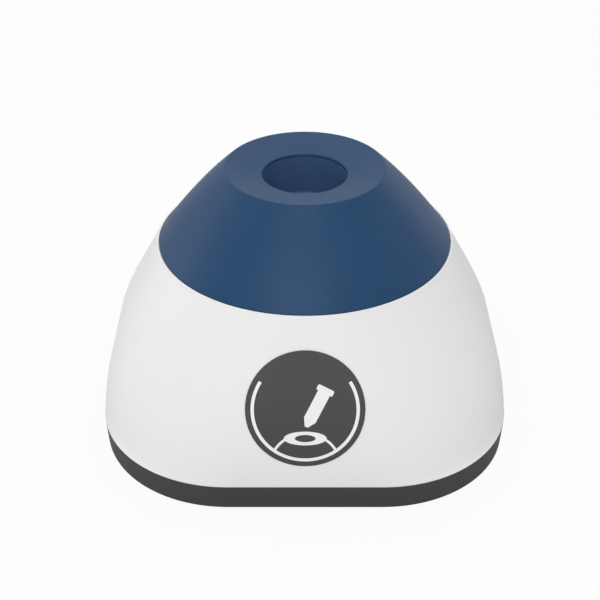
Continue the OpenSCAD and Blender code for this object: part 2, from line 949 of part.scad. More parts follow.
// The flank, as [radius, height], from t = 0 at the foot to t = 1 below the top face's edge
function flank(t, inset) =
    let (
        run = boot_foot_r - boot_top_r,
        r = boot_foot_r - run * t + 4 * boot_bow * t * (1 - t),
        lean = atan((run - 4 * boot_bow * (1 - 2 * t)) / boot_rise)
    )
    [r - inset * cos(lean), boot_foot_z + boot_rise * t - inset * sin(lean)];

// How far a ring of the boot goes with the cup: 0 at the foot, 1 from the well's top up
lean_low_z = boot_foot_z + bead_h + 0.4;
function follow(z) = min(1, max(0, (z - lean_low_z) / (cup_top_z - 0.4 - lean_low_z)));

boot_corner_r = boot_top_r - boot_wall * 0.8;

boot_profile = concat(
    [for (k = [0:flank_steps]) flank(k / flank_steps * 0.975, 0)],
    [
        [boot_top_r - 0.15, boot_top_z - 0.1],
        [boot_top_r - boot_edge, boot_top_z],
        [mouth_r + 0.7, mouth_z + dish_slope * 0.7],
        [mouth_r + 0.2, mouth_z - 0.1],
        [mouth_r, mouth_z - 0.6],
        [mouth_r, mouth_z - boot_top_wall],
        [boot_corner_r, mouth_z - boot_top_wall + dish_slope * (boot_corner_r - mouth_r)]
    ],
    [for (k = [flank_steps - 1:-1:1]) flank(k / flank_steps * 0.95, boot_wall)],
    [
        [boot_foot_r - boot_wall * 1.7, boot_foot_z + bead_h],
        [bead_r, boot_foot_z + bead_h],
        [bead_r, boot_foot_z]
    ]
);

module flexible_boot() {
    n = boot_columns;
    m = len(boot_profile);
    color([0.16, 0.27, 0.43]) {
        polyhedron(
            points = [
                for (p = boot_profile)
                    for (i = [0:n - 1])
                        [p[0] * cos(360 * i / n), p[0] * sin(360 * i / n) + orbit_r * follow(p[1]), p[1]]
            ],
            faces = concat(
                [for (k = [0:m - 1]) for (i = [0:n - 1])
                    [k * n + i, ((k + 1) % m) * n + i, ((k + 1) % m) * n + (i + 1) % n]],
                [for (k = [0:m - 1]) for (i = [0:n - 1])
                    [k * n + i, ((k + 1) % m) * n + (i + 1) % n, k * n + (i + 1) % n]]
            ),
            convexity = 6
        );
    }
}

// ---- Touch switch ----------------------------------------------------------

switch_len = 12.8;
switch_h = 6;
plunger_r = 0.9;
plunger_len = press_travel + 0.8;
switch_top_z = plate_z - press_travel - 0.4;
switch_z = switch_top_z - switch_h;
switch_screw_y = 3.2;
switch_screw_depth = 4.3;

module switch_bracket() {
    color([0.7, 0.7, 0.72]) {
        difference() {
            union() {
                translate([bracket_x - bracket_t / 2, -switch_len / 2, ballast_top_z]) {
                    cube([bracket_t, switch_len, switch_top_z - 1 - ballast_top_z]);
                }
                translate([bracket_x - bracket_t / 2 - 8, -switch_len / 2, ballast_top_z]) {
                    cube([8 + bracket_t, switch_len, bracket_t]);
                }
            }
            translate([bracket_screw_x, 0, 0]) rod(m2_r + 0.15, ballast_top_z - cut, bracket_t + 2 * cut);
            for (y = [-switch_screw_y, switch_screw_y]) {
                translate([bracket_x, y, switch_z + switch_h / 2 - 0.8]) {
                    rotate([0, 90, 0]) cylinder(r = m2_r + 0.1, h = 2 * bracket_t + cut, center = true);
                }
            }
        }
    }
}

module bracket_screw() {
    color([0.6, 0.6, 0.62]) {
        translate([bracket_screw_x, 0, ballast_top_z + bracket_t]) {
            screw(m2_r, m2_head_r, m2_head_h, bracket_t + 3);
        }
    }
}

module switch_body() {
    color([0.12, 0.12, 0.13]) {
        difference() {
            translate([switch_x - switch_w / 2, -switch_len / 2, switch_z]) {
                cube([switch_w, switch_len, switch_h]);
            }
            translate([switch_x, 0, 0]) rod(plunger_r + slip, switch_top_z - 2.6, 2.6 + cut);
            for (y = [-switch_screw_y, switch_screw_y]) {
                translate([switch_x - switch_w / 2, y, switch_z + switch_h / 2 - 0.8]) {
                    rotate([0, 90, 0]) cylinder(r = m2_r + seat, h = 2 * switch_screw_depth, center = true);
                }
            }
        }
    }
}

module switch_screws() {
    color([0.6, 0.6, 0.62]) {
        for (y = [-switch_screw_y, switch_screw_y]) {
            translate([bracket_x - bracket_t / 2, y, switch_z + switch_h / 2 - 0.8]) {
                rotate([0, -90, 0]) screw(m2_r, m2_head_r, m2_head_h, bracket_t + switch_screw_depth - 0.3);
            }
        }
    }
}

module switch_plunger() {
    color([0.75, 0.2, 0.15]) {
        translate([switch_x, 0, 0]) rod(plunger_r, plate_z - slip - plunger_len - 0.7, plunger_len + 0.7);
    }
}

switch_terminal_len = 3.4;

module switch_terminals() {
    color([0.8, 0.7, 0.45]) {
        for (y = [-switch_lead_y, switch_lead_y]) {
            translate([switch_x, y, switch_z - switch_terminal_len / 2]) {
                cube([1.8, 0.5, switch_terminal_len], center = true);
            }
        }
    }
}

// ---- Control board and power socket ----------------------------------------

module control_board() {
    color([0.1, 0.35, 0.2]) {
        difference() {
            translate([-board_half_w, board_front_y, board_z]) cube([2 * board_half_w, board_depth, board_t]);
            for (x = [-standoff_x, standoff_x]) {
                for (y = standoff_y) translate([x, y, 0]) rod(m2_r + 0.15, board_z - cut, board_t + 2 * cut);
            }
        }
    }
}

module board_standoffs() {
    color([0.75, 0.62, 0.3]) {
        for (x = [-standoff_x, standoff_x]) {
            for (y = standoff_y) {
                translate([x, y, 0]) {
                    ring_of(2.2, m2_r + seat, ballast_top_z, board_z - ballast_top_z);
                }
            }
        }
    }
}

module board_screws() {
    color([0.6, 0.6, 0.62]) {
        for (x = [-standoff_x, standoff_x]) {
            for (y = standoff_y) {
                translate([x, y, board_top_z]) screw(m2_r, m2_head_r, m2_head_h, board_t + 5);
            }
        }
    }
}

capacitor_r = 3;
capacitor_h = 9;

module board_capacitor() {
    color([0.15, 0.18, 0.3]) {
        translate([-jack_half_w - 4.9, board_back_y - capacitor_r - 0.5, 0]) {
            rod(capacitor_r, board_top_z, capacitor_h);
        }
    }
}

driver_size = [5, 4, 1.5];
transistor_size = [5, 2, 4.4];
regulator_size = [2.4, 1.6, 0.9];

module board_chips() {
    color([0.1, 0.1, 0.1]) {
        translate([jack_half_w + 3.5, board_back_y - driver_size[1] - 2.5, board_top_z]) cube(driver_size);
        translate([-board_half_w + 0.6, board_back_y - transistor_size[1] - 0.3, board_top_z]) {
            cube(transistor_size);
        }
        translate([jack_half_w + 9.6, board_back_y - regulator_size[1] - 0.6, board_top_z]) {
            cube(regulator_size);
        }
    }
}

connector_x = 9.5;
connector_w = 5;
connector_h = 4.5;
connector_depth = 3.6;
connector_y = board_front_y + 3;

module board_connectors() {
    color([0.9, 0.88, 0.8]) {
        for (x = [-connector_x, connector_x]) {
            difference() {
                translate([x - connector_w / 2, connector_y, board_top_z]) {
                    cube([connector_w, connector_depth, connector_h]);
                }
                for (side = [-1, 1]) {
                    translate([x + side * lead_pitch / 2, connector_y - cut, connector_axis_z]) {
                        rotate([-90, 0, 0]) cylinder(r = lead_r + 0.15, h = lead_depth + 0.2 + cut);
                    }
                }
            }
        }
    }
}

lead_pitch = 2;
lead_depth = 1.8;
connector_axis_z = board_top_z + connector_h / 2;

module dc_jack() {
    color([0.08, 0.08, 0.08]) {
        difference() {
            union() {
                translate([-jack_half_w, jack_back_y - jack_len, board_top_z]) {
                    cube([2 * jack_half_w, jack_len, jack_h]);
                }
                translate([0, jack_back_y - cut, jack_z]) {
                    rotate([-90, 0, 0]) cylinder(r = jack_nose_r, h = jack_end_y - jack_back_y + cut);
                }
            }
            translate([0, jack_end_y - jack_depth, jack_z]) {
                rotate([-90, 0, 0]) cylinder(r = plug_r, h = jack_depth + cut);
            }
        }
        translate([0, jack_end_y - jack_depth - 0.5, jack_z]) {
            rotate([-90, 0, 0]) cylinder(r = plug_pin_r, h = jack_depth - 0.5);
        }
    }
}

jack_depth = 9;

// ---- Leads -----------------------------------------------------------------

lead_sides = 8;
lead_steps = 4;

// A point on the smooth curve through four route points, between the middle two
function route_point(a, b, c, d, t) =
    0.5 * ((2 * b) + (c - a) * t + (2 * a - 5 * b + 4 * c - d) * t * t + (3 * b - a - 3 * c + d) * t * t * t);

function smooth_route(p) = [
    for (k = [0:len(p) - 2])
        for (i = [0:lead_steps - 1])
            route_point(p[max(0, k - 1)], p[k], p[k + 1], p[min(len(p) - 1, k + 2)], i / lead_steps),
    p[len(p) - 1]
];

function unit(v) = v / norm(v);

// The straight end of a lead, from inside its connector outwards
function connector_end(x) = [
    for (y = [lead_depth, -0.2, -1.6]) [x, connector_y + y, connector_axis_z]
];

// A round lead along a route. The sides are laid out from a direction that no stretch runs along.
module lead(route) {
    path = smooth_route(route);
    off_axis = [0.25, 0.1, 1];
    loft([
        for (k = [0:len(path) - 1])
            let (
                along = unit(path[min(len(path) - 1, k + 1)] - path[max(0, k - 1)]),
                across = unit(cross(along, off_axis)),
                up = cross(along, across)
            )
            [
                for (i = [0:lead_sides - 1])
                    let (a = -360 * i / lead_sides)
                    path[k] + lead_r * (cos(a) * across + sin(a) * up)
            ]
    ]);
}

module motor_leads() {
    color([0.7, 0.1, 0.1]) {
        for (side = [-1, 1]) {
            lead(concat(connector_end(connector_x + side * lead_pitch / 2), [
                [connector_x - 1 + side * lead_pitch / 2, connector_y - 5, board_top_z + 0.6],
                [connector_x - 2 + side * 1.5, connector_y - 8, ballast_top_z + 1.8],
                [connector_x * 0.55 + side * 2.1, ballast_hole_r - 1.5, ballast_top_z + 0.9],
                [side > 0 ? terminal_x + 2.8 : terminal_x - 3, terminal_y + 3.6, end_cap_z - 1.9],
                [side * terminal_x + terminal_t / 2 + soft_gap + lead_r, terminal_y, end_cap_z - 1.9]
            ]));
        }
    }
}

switch_lead_y = 2.6;

module switch_leads() {
    color([0.15, 0.15, 0.15]) {
        // The front lead, 1, runs below and inside the back one, 0
        for (front = [0, 1]) {
            lead(concat(connector_end(-connector_x - (1 - 2 * front) * lead_pitch / 2), [
                [
                    -connector_x - 4.4 + 1.8 * front,
                    connector_y - 2.4 - 2 * front,
                    connector_axis_z + 1 - 1.4 * front
                ],
                [switch_x - 2.6 + 2 * front, post_place + 5.8 - 2.2 * front, connector_axis_z + 1],
                [switch_x - 3.8 + 1.7 * front, post_place - 2.6, switch_z - 4.4 - 1.2 * front],
                [switch_x + 1.2, post_place - 10.1, switch_z - 3.6 - 1.8 * front],
                [switch_x + 1.9, (1 - 2 * front) * switch_lead_y + 1.4, switch_z - 3 - front],
                [switch_x + 1.9, (1 - 2 * front) * switch_lead_y, switch_z - 2.4]
            ]));
        }
    }
}

// ---- Badge -----------------------------------------------------------------

print_t = 0.06;
badge_reach = 8;
arc_out_r = badge_r * 0.907;
arc_in_r = badge_r * 0.851;
arc_end = 32.5;
disc_y = -badge_r * 0.512;
disc_half_w = badge_r * 0.37;
disc_half_h = badge_r * 0.119;
disc_hole_half_w = badge_r * 0.175;
disc_hole_half_h = badge_r * 0.06;
dome_r = badge_r * 0.61;
dome_y = -badge_r * 1.016;
dome_line = badge_r * 0.035;
tube_x = badge_r * 0.186;
tube_lean = 27;
tube_half_len = badge_r * 0.375;
tube_half_w = badge_r * 0.105;
tube_cap_half_w = badge_r * 0.137;
tube_cap_h = badge_r * 0.1;
tube_point_h = badge_r * 0.15;

function oval(half_w, half_h, steps = 48) =
    [for (i = [0:steps - 1]) [half_w * cos(360 * i / steps), half_h * sin(360 * i / steps)]];

// The half dome under the disc: a round top whose feet end inside the arc
module dome_outline(inset) {
    intersection() {
        translate([0, dome_y]) circle(r = dome_r - inset);
        circle(r = arc_in_r + 0.1);
    }
}

module badge_art() {
    difference() {
        circle(r = arc_out_r);
        circle(r = arc_in_r);
        polygon([
            [0, 0],
            2 * badge_r * [cos(arc_end), sin(arc_end)],
            3 * badge_r * [0, 1],
            2 * badge_r * [-cos(arc_end), sin(arc_end)]
        ]);
    }
    difference() {
        dome_outline(0);
        dome_outline(dome_line);
        translate([0, disc_y]) polygon(oval(disc_half_w * 0.99, disc_half_h * 0.98));
    }
    difference() {
        translate([0, disc_y]) polygon(oval(disc_half_w, disc_half_h));
        translate([0, disc_y]) polygon(oval(disc_hole_half_w, disc_hole_half_h));
    }
    translate([tube_x, 0]) rotate(-tube_lean) tube_outline();
}

// A sample tube: a cap, a straight body and a pointed end
module tube_outline() {
    cap_y = tube_half_len - tube_cap_h;
    shoulder_y = tube_point_h - tube_half_len;
    right = [
        [tube_half_w * 0.25, -tube_half_len], [tube_half_w, shoulder_y], [tube_half_w, cap_y],
        [tube_cap_half_w, cap_y], [tube_cap_half_w, tube_half_len]
    ];
    polygon(concat(right, [for (i = [len(right) - 1:-1:0]) [-right[i][0], right[i][1]]]));
}

// The rings that the film spans, so that it lies on the shell facet by facet
badge_low_ring = floor((badge_rise - badge_r) * shell_rings / shell_h);
badge_high_ring = ceil((badge_rise + badge_r) * shell_rings / shell_h);

// A skin of thickness t over the shell's front, standing off it by lift
module front_skin(lift, t) {
    low_z = ring_z(badge_low_ring);
    high_z = ring_z(badge_high_ring);
    steps = badge_high_ring - badge_low_ring;
    difference() {
        shell_form(-lift - t, low_z, high_z, steps);
        shell_form(-lift, low_z, high_z, steps);
    }
}

module badge_plate() {
    color([0.3, 0.3, 0.31]) {
        intersection() {
            front_skin(0, badge_t);
            at_badge() cylinder(r = badge_r, h = 2 * badge_reach, center = true);
        }
    }
}

module badge_print() {
    color([0.95, 0.95, 0.95]) {
        intersection() {
            front_skin(badge_t, print_t);
            at_badge() translate([0, 0, -badge_reach]) linear_extrude(height = 2 * badge_reach) badge_art();
        }
    }
}

main_shell();
base_pan();
suction_feet();
base_screws();
ballast_plate();
ballast_screws();
guide_posts();
post_clips();
return_springs();
carriage_plate();
guide_bushes();
motor_can();
motor_end_cap();
motor_bushing();
motor_magnets();
motor_screws();
motor_terminals();
motor_shaft();
motor_armature();
motor_commutator();
eccentric_crank();
counterweight();
counterweight_screws();
crank_set_screw();
bearing_inner_ring();
pin_clip();
bearing_outer_ring();
bearing_balls();
ball_cage();
hub_circlip();
tube_cup();
flexible_boot();
switch_bracket();
bracket_screw();
switch_body();
switch_screws();
switch_plunger();
switch_terminals();
control_board();
board_standoffs();
board_screws();
board_capacitor();
board_chips();
board_connectors();
dc_jack();
motor_leads();
switch_leads();
badge_plate();
badge_print();
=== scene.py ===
"""The finished look of a mini vortex mixer, around its packed frame.

Lengths are in metres, in the frame's own axes: +Z up, front towards -Y. Profiles are written in millimetres.
"""

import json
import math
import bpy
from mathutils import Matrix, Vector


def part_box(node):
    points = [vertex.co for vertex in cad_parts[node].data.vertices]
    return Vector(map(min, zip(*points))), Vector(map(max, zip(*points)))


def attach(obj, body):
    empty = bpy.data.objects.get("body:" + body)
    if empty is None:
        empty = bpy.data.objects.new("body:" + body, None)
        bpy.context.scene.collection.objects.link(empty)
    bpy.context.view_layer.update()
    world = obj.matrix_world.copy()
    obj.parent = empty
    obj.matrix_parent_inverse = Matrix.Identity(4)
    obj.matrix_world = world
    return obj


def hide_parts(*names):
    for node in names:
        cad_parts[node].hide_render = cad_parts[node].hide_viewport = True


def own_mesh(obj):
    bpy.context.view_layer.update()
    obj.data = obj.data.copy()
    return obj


bl_info = {
    "name": "Mini Vortex Mixer",
    "version": (1, 0, 0),
    "blender": (4, 5, 0),
    "location": "View3D > Sidebar > Mixer",
    "description": "Builds the finished pieces, materials, stage and lamps of a mini vortex mixer",
    "category": "Object",
}

import bmesh
import bpy
import numpy as np
from bpy.props import FloatProperty, FloatVectorProperty, IntProperty, PointerProperty

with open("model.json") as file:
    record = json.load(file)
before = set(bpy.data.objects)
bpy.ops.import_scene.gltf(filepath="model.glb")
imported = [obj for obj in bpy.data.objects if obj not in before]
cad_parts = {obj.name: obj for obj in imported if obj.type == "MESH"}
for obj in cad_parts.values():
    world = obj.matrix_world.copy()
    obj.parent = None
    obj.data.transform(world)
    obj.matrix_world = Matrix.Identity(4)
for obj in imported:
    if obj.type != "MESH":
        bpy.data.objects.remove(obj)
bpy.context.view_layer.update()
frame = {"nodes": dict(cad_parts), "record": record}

MM = 0.001
TURN = 2 * math.pi


def span_mm(node, axis):
    """The low and high ends of a CAD node in millimetres, along axis 0, 1 or 2: x, y or z."""
    return [round(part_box(node)[corner][axis] / MM, 3) for corner in (0, 1)]


SHELL_HALF_W = span_mm("main_shell", 0)[1]
PARTING_Z, LIP_TOP_Z = span_mm("main_shell", 2)
PAN_Z, TONGUE_TOP_Z = span_mm("base_pan", 2)
BOOT_FOOT_R = span_mm("flexible_boot", 0)[1]
BOOT_FOOT_Z, BOOT_TOP_Z = span_mm("flexible_boot", 2)
FLANGE_R = span_mm("tube_cup", 0)[1]
HUB_Z, CUP_TOP_Z = span_mm("tube_cup", 2)
ORBIT_R = round(sum(span_mm("tube_cup", 1)) / 2, 3)
BEARING_R = span_mm("bearing_outer_ring", 0)[1]
BEARING_Z, BEARING_TOP_Z = span_mm("bearing_outer_ring", 2)
BALLAST_TOP_Z = span_mm("ballast_plate", 2)[1]
JACK_FRONT_Y, JACK_BACK_Y = span_mm("dc_jack", 1)
JACK_LOW_Z = span_mm("dc_jack", 2)[0]
JACK_AXIS_Z = JACK_LOW_Z + 6
SPRING_LOW_Z, SPRING_TOP_Z = span_mm("return_springs", 2)
JOINTS = frame["record"]["behaviour"]["joints"]
PRESS_TRAVEL = next(joint["range_m"][1] for joint in JOINTS if joint["name"] == "press") / MM
SHELL_TOP_Z = BOOT_FOOT_Z - 0.7
RIM_R = BOOT_FOOT_R - 0.3


def number(name, text, default, **limits):
    """A number that a user may change, with its unit or limits."""
    return FloatProperty(name=name, description=text, default=default, **limits)


def length(name, text, default):
    """A size in millimetres that a user may change."""
    return number(name, text, default, min=0.0, precision=2)


def watts(name, text, default):
    """A lamp's power in watts."""
    return number(name, text, default, min=0.0, unit="POWER")


def colour(name, text, default):
    """A linear colour that a user may change."""
    return FloatVectorProperty(
        name=name, description=text, default=default, subtype="COLOR", size=3, min=0.0, max=1.0
    )


# ---- Sizes and colours ----


class HousingSizes(bpy.types.PropertyGroup):
    """Sizes of the white shell and the base pan, in millimetres."""

    half_width: length("Half width", "Half width at the parting line", SHELL_HALF_W)
    parting_z: length("Parting line", "Height of the line between shell and pan", PARTING_Z)
    top_z: length("Deck height", "Height of the shell's top edge", SHELL_TOP_Z)
    top_radius: length("Top radius", "Radius of the shell's round top edge", 37.0)
    top_lean: number("Top lean", "Lean of the side at the top edge", math.radians(25.4), subtype="ANGLE")
    foot_pull: length("Foot pull", "Upright pull at the foot of the side curve", 13.2)
    top_pull: length("Top pull", "Leaning pull at the top of the side curve", 17.6)
    flat: length("Straight run", "Half length of each straight side at the parting line", 18.2)
    flat_least: length("Least straight run", "The same at the top edge", 0.05)
    flat_fade: number("Fade", "How fast the straight runs shorten", 0.77)
    rim_height: length("Rim height", "Height of the rim round the boot", BOOT_FOOT_Z - 0.05 - SHELL_TOP_Z)
    rim_radius: length("Rim radius", "Inner radius of the thin rim", RIM_R)
    wall: length("Shell wall", "Wall of the shell", 2.2)
    deck: length("Deck", "Thickness of the deck", 2.4)
    opening: length("Deck opening", "Radius of the opening in the deck", 20.0)
    collar: length("Collar", "Outer radius of the collar that the boot sits around", 28.2)
    lip: length("Lip", "Outer radius of the collar's lip", 30.0)
    lip_height: length("Lip height", "Height of the collar's lip", 1.2)
    draft: length("Pan draft", "How far the pan's sides draw in towards the bottom", 0.4)
    pan_floor: length("Pan floor", "Thickness of the pan's floor", 2.5)
    tongue_gap: length("Tongue gap", "Gap between the shell's wall and the pan's tongue", 0.2)
    tongue_wall: length("Tongue wall", "Wall of the pan's tongue", 1.6)
    edge_round: length("Edge rounding", "Radius of the moulded outer edges", 0.45)
    part_round: length("Parting rounding", "Radius of the edges along the parting line", 0.22)


class BootSizes(bpy.types.PropertyGroup):
    """Sizes of the blue rubber boot and the cup below it, in millimetres."""

    foot_radius: length("Foot radius", "Outer radius of the boot's foot, inside the shell's rim", RIM_R - 0.2)
    foot_drop: length("Foot drop", "How far the foot reaches down behind the rim", 0.2)
    top_radius: length("Top radius", "Radius of the boot's top face", 19.7)
    mouth_radius: length("Mouth radius", "Radius of the mouth in the top face", 10.4)
    dish: length("Dish", "How far the top face falls towards the mouth", 1.9)
    bow: length("Bow", "Outward bow of the flank at half height", 0.8)
    wall: length("Wall", "Wall of the boot's flank", 2.0)
    top_wall: length("Top wall", "Thickness of the top face", 0.7)
    seat_gap: length("Seat gap", "Gap between the top face and the cup's flange", 0.05)
    bead: length("Bead", "Height of the bead inside the foot", 1.6)
    crease_round: length("Crease rounding", "Radius of the edge around the top face", 0.5)
    mouth_round: length("Mouth rounding", "Radius of the mouth's upper edge", 0.3)
    well_radius: length("Well radius", "Radius of the well that a tube goes into", 10.4)
    well_wall: length("Well wall", "Wall of the well", 2.2)
    well_floor: length("Well floor", "Thickness of the well's floor", 1.6)
    flange: length("Flange", "Thickness of the cup's flange", 2.2)
    hub_radius: length("Hub radius", "Radius of the hub below the well", 9.0)
    gussets: IntProperty(name="Gussets", description="Ribs between the flange and the well", default=6, min=3)


class BadgeSizes(bpy.types.PropertyGroup):
    """Sizes of the round film on the front, in millimetres. The drawing's sizes are shares of its radius."""

    rise: length("Rise", "Height of the badge's middle above the parting line", 19.4)
    radius: length("Radius", "Radius of the badge film", 13.7)
    thickness: length("Thickness", "Thickness of the badge film", 0.25)
    print_thickness: length("Print", "Thickness of the printed drawing", 0.06)


class MixerColours(bpy.types.PropertyGroup):
    """Colours of the finishes that show."""

    shell: colour("Shell", "White moulded shell", (0.836, 0.836, 0.838))
    pan: colour("Pan", "Dark base pan", (0.05, 0.05, 0.051))
    boot: colour("Boot", "Blue rubber boot", (0.015, 0.057, 0.137))
    # The cup's blue is its own colour painted lighter to stand in for the light that fills the well: partly
    # real, partly painted light.
    cup: colour("Cup", "Blue hard plastic of the tube cup", (0.047, 0.1, 0.21))
    badge: colour("Badge", "Dark film of the badge", (0.057, 0.057, 0.058))
    drawing: colour("Drawing", "Pale print on the badge", (0.88, 0.88, 0.88))
    feet: colour("Feet", "Black rubber feet", (0.018, 0.018, 0.019))


class StageSettings(bpy.types.PropertyGroup):
    """The floor, the lamps and the camera."""

    floor_half: number("Floor", "Half width of the floor", 3.0, unit="LENGTH")
    world_level: number("Sky", "Level of the sky on matt surfaces", 0.6)
    key_power: watts("Key", "Power of the key lamp", 2.45)
    top_power: watts("Top", "Power of the lamp above and behind", 0.9)
    left_power: watts("Left", "Power of the lamp on the left", 0.36)
    right_power: watts("Right", "Power of the strip lamp on the right", 0.06)
    lens: number("Lens", "Focal length in millimetres", 74.4)
    distance: number("Distance", "Camera distance", 0.320, unit="LENGTH")
    elevation: number("Elevation", "Camera elevation", math.radians(32.92), subtype="ANGLE")
    aim_height: number("Aim", "Height that the camera aims at", 0.02796, unit="LENGTH")
    aside: number("Aside", "How far the camera stands to the right", -0.00118, unit="LENGTH")


# ---- Shapes ----


def column_angles(columns):
    """The angles of a ring's columns, evenly spread from 0 over a full turn."""
    return np.arange(columns) * (TURN / columns)


def outline_radius(angle, half_width, flat):
    """Distance from the middle to a square outline with round corners, in the direction of angle.

    Folded into one eighth, the outline is a straight side at half_width as far as flat, then an arc of radius
    half_width - flat about the corner (flat, flat). With b = flat (cos + sin), the arc lies at
    b + sqrt(b^2 - 2 flat^2 + radius^2).
    """
    folded = np.abs((angle + TURN / 8) % (TURN / 4) - TURN / 8)
    corner = half_width - flat
    reach = flat * (np.cos(folded) + np.sin(folded))
    inside = np.maximum(reach**2 - 2 * flat**2 + corner**2, 0)
    on_side = half_width * np.tan(folded) <= flat
    return np.where(on_side, half_width / np.cos(folded), reach + np.sqrt(inside))


def side_path(sizes, share):
    """Half width and height of the shell's side: a cubic Bezier curve, upright below and leaning above."""
    low = np.array([sizes.half_width, sizes.parting_z])
    high = np.array([sizes.top_radius, sizes.top_z])
    lean = np.array([math.sin(sizes.top_lean), -math.cos(sizes.top_lean)])
    pulls = [low, low + [0, sizes.foot_pull], high + sizes.top_pull * lean, high]
    t = np.asarray(share, float)[:, None]
    weights = [(1 - t) ** 3, 3 * t * (1 - t) ** 2, 3 * t**2 * (1 - t), t**3]
    return sum(weight * pull for weight, pull in zip(weights, pulls))


def shell_half_width(sizes, z):
    """Half width of the shell at height z, read off a fine table of its side curve."""
    table = side_path(sizes, np.linspace(0, 1, 600))
    return np.interp(z, table[:, 1], table[:, 0])


def shell_flat(sizes, z):
    """Half length of the straight runs at height z: they shorten as climb to the power of flat_fade."""
    climb = np.clip((np.asarray(z, float) - sizes.parting_z) / (sizes.top_z - sizes.parting_z), 0, 1)
    return sizes.flat_least + (sizes.flat - sizes.flat_least) * (1 - climb**sizes.flat_fade)


def rounded(corners, radii, steps=6, closed=True):
    """A path with its corners rounded.

    A corner (across, up, more...) with a radius becomes the arc that touches both its edges, plus one point a
    little way along each edge, which keeps the shading of the flat beside it even. The other values of the
    corner are repeated along its arc. An arc takes at most 0.45 of the shorter edge.
    """
    corners = np.asarray(corners, float)
    before = np.roll(corners, 1, axis=0)[:, :2] - corners[:, :2]
    after = np.roll(corners, -1, axis=0)[:, :2] - corners[:, :2]
    path = []
    for k, (corner, radius) in enumerate(zip(corners, radii)):
        at_end = not closed and k in (0, len(corners) - 1)
        if radius == 0 or at_end:
            path.append(corner[None])
            continue
        reach = [np.linalg.norm(edge) for edge in (before[k], after[k])]
        way = [before[k] / reach[0], after[k] / reach[1]]
        half = 0.5 * math.acos(float(np.clip(way[0] @ way[1], -1, 1)))
        touch = min(radius / math.tan(half), 0.45 * min(reach))
        radius = touch * math.tan(half)
        support = min(touch + 0.4 * radius, 0.49 * min(reach))
        bisector = way[0] + way[1]
        middle = corner[:2] + bisector / np.linalg.norm(bisector) * radius / math.sin(half)
        spokes = [corner[:2] + touch * w - middle for w in way]
        sweep = math.pi - 2 * half
        share = np.linspace(0, 1, steps + 1)[:, None]
        turned_spokes = np.sin((1 - share) * sweep) * spokes[0] + np.sin(share * sweep) * spokes[1]
        arc = middle + turned_spokes / math.sin(sweep)
        run = np.vstack([corner[:2] + support * way[0], arc, corner[:2] + support * way[1]])
        path.append(np.hstack([run, np.repeat(corner[None, 2:], len(run), axis=0)]))
    return np.vstack(path)


def grid_faces(rows, columns, wrap_rows=False, wrap_columns=True):
    """Quads between neighbouring points of a grid, whose last row or column may join the first."""
    r = np.arange(rows if wrap_rows else rows - 1)[:, None]
    c = np.arange(columns if wrap_columns else columns - 1)[None, :]
    r_next = (r + 1) % rows
    c_next = (c + 1) % columns
    corners = [r * columns + c, r * columns + c_next, r_next * columns + c_next, r_next * columns + c]
    return np.stack(np.broadcast_arrays(*corners), axis=-1).reshape(-1, 4)


def outlined(path, columns):
    """Rings of the housing's outline: each row of the path is (half width, height, straight run)."""
    angle = column_angles(columns)[None, :]
    half_width, height, flat = (path[:, k][:, None] for k in range(3))
    radius = outline_radius(angle, half_width, np.minimum(flat, half_width * 0.98))
    return np.stack([radius * np.cos(angle), radius * np.sin(angle), height + 0 * angle], axis=-1)


def turned(path, columns, centre=(0.0, 0.0)):
    """Rings of a turned form: each row of the path is (radius, height), about an upright axis through centre.

    centre may hold one value a row, for a form that leans.
    """
    angle = column_angles(columns)[None, :]
    radius, height = path[:, 0][:, None], path[:, 1][:, None]
    x = np.asarray(centre[0]).reshape(-1, 1) + radius * np.cos(angle)
    y = np.asarray(centre[1]).reshape(-1, 1) + radius * np.sin(angle)
    return np.stack(np.broadcast_arrays(x, y, height), axis=-1)


def swept(centres, radius, sides):
    """A round tube along a path: rings of radius about each centre, square to the path's direction.

    The rings are laid out from the level direction that is square to the path.
    """
    along = np.gradient(centres, axis=0)
    along /= np.linalg.norm(along, axis=1, keepdims=True)
    across = np.cross(along, [0, 0, 1.0])
    across /= np.linalg.norm(across, axis=1, keepdims=True)
    up = np.cross(across, along)
    angle = column_angles(sides)[None, :, None]
    return centres[:, None] + radius * (np.cos(angle) * across[:, None] + np.sin(angle) * up[:, None])


def with_ends(rings):
    """Rings with a point added at each end, at the middle of the end ring, so that the tube is closed."""
    columns = rings.shape[1]
    ends = [np.repeat(rings[k].mean(axis=0)[None, None], columns, axis=1) for k in (0, -1)]
    return np.concatenate([ends[0], rings, ends[1]])


# ---- Pieces ----


def tidy_mesh(mesh, crease=math.radians(32), merge=2e-7):
    """Merges double points, drops empty faces, turns faces outwards and smooths all but the sharp edges."""
    work = bmesh.new()
    work.from_mesh(mesh)
    bmesh.ops.remove_doubles(work, verts=work.verts, dist=merge)
    bmesh.ops.dissolve_degenerate(work, edges=work.edges, dist=merge / 2)
    bmesh.ops.recalc_face_normals(work, faces=work.faces)
    work.to_mesh(mesh)
    work.free()
    mesh.shade_smooth()
    mesh.set_sharp_from_angle(angle=crease)


def new_object(name, grids):
    """One object from several grids, each given as (points in millimetres, faces)."""
    points, faces, start = [], [], 0
    for grid, quads in grids:
        flat_points = grid.reshape(-1, 3)
        points.append(flat_points)
        faces.append(quads + start)
        start += len(flat_points)
    mesh = bpy.data.meshes.new(name)
    mesh.from_pydata((np.vstack(points) * MM).tolist(), [], np.vstack(faces).tolist())
    tidy_mesh(mesh)
    item = bpy.data.objects.new(name, mesh)
    bpy.context.scene.collection.objects.link(item)
    return item


def solid(name, rings, wrap=False):
    """An object made of one grid of rings, whose last ring joins the first if wrap is set."""
    return new_object(name, [(rings, grid_faces(*rings.shape[:2], wrap_rows=wrap))])


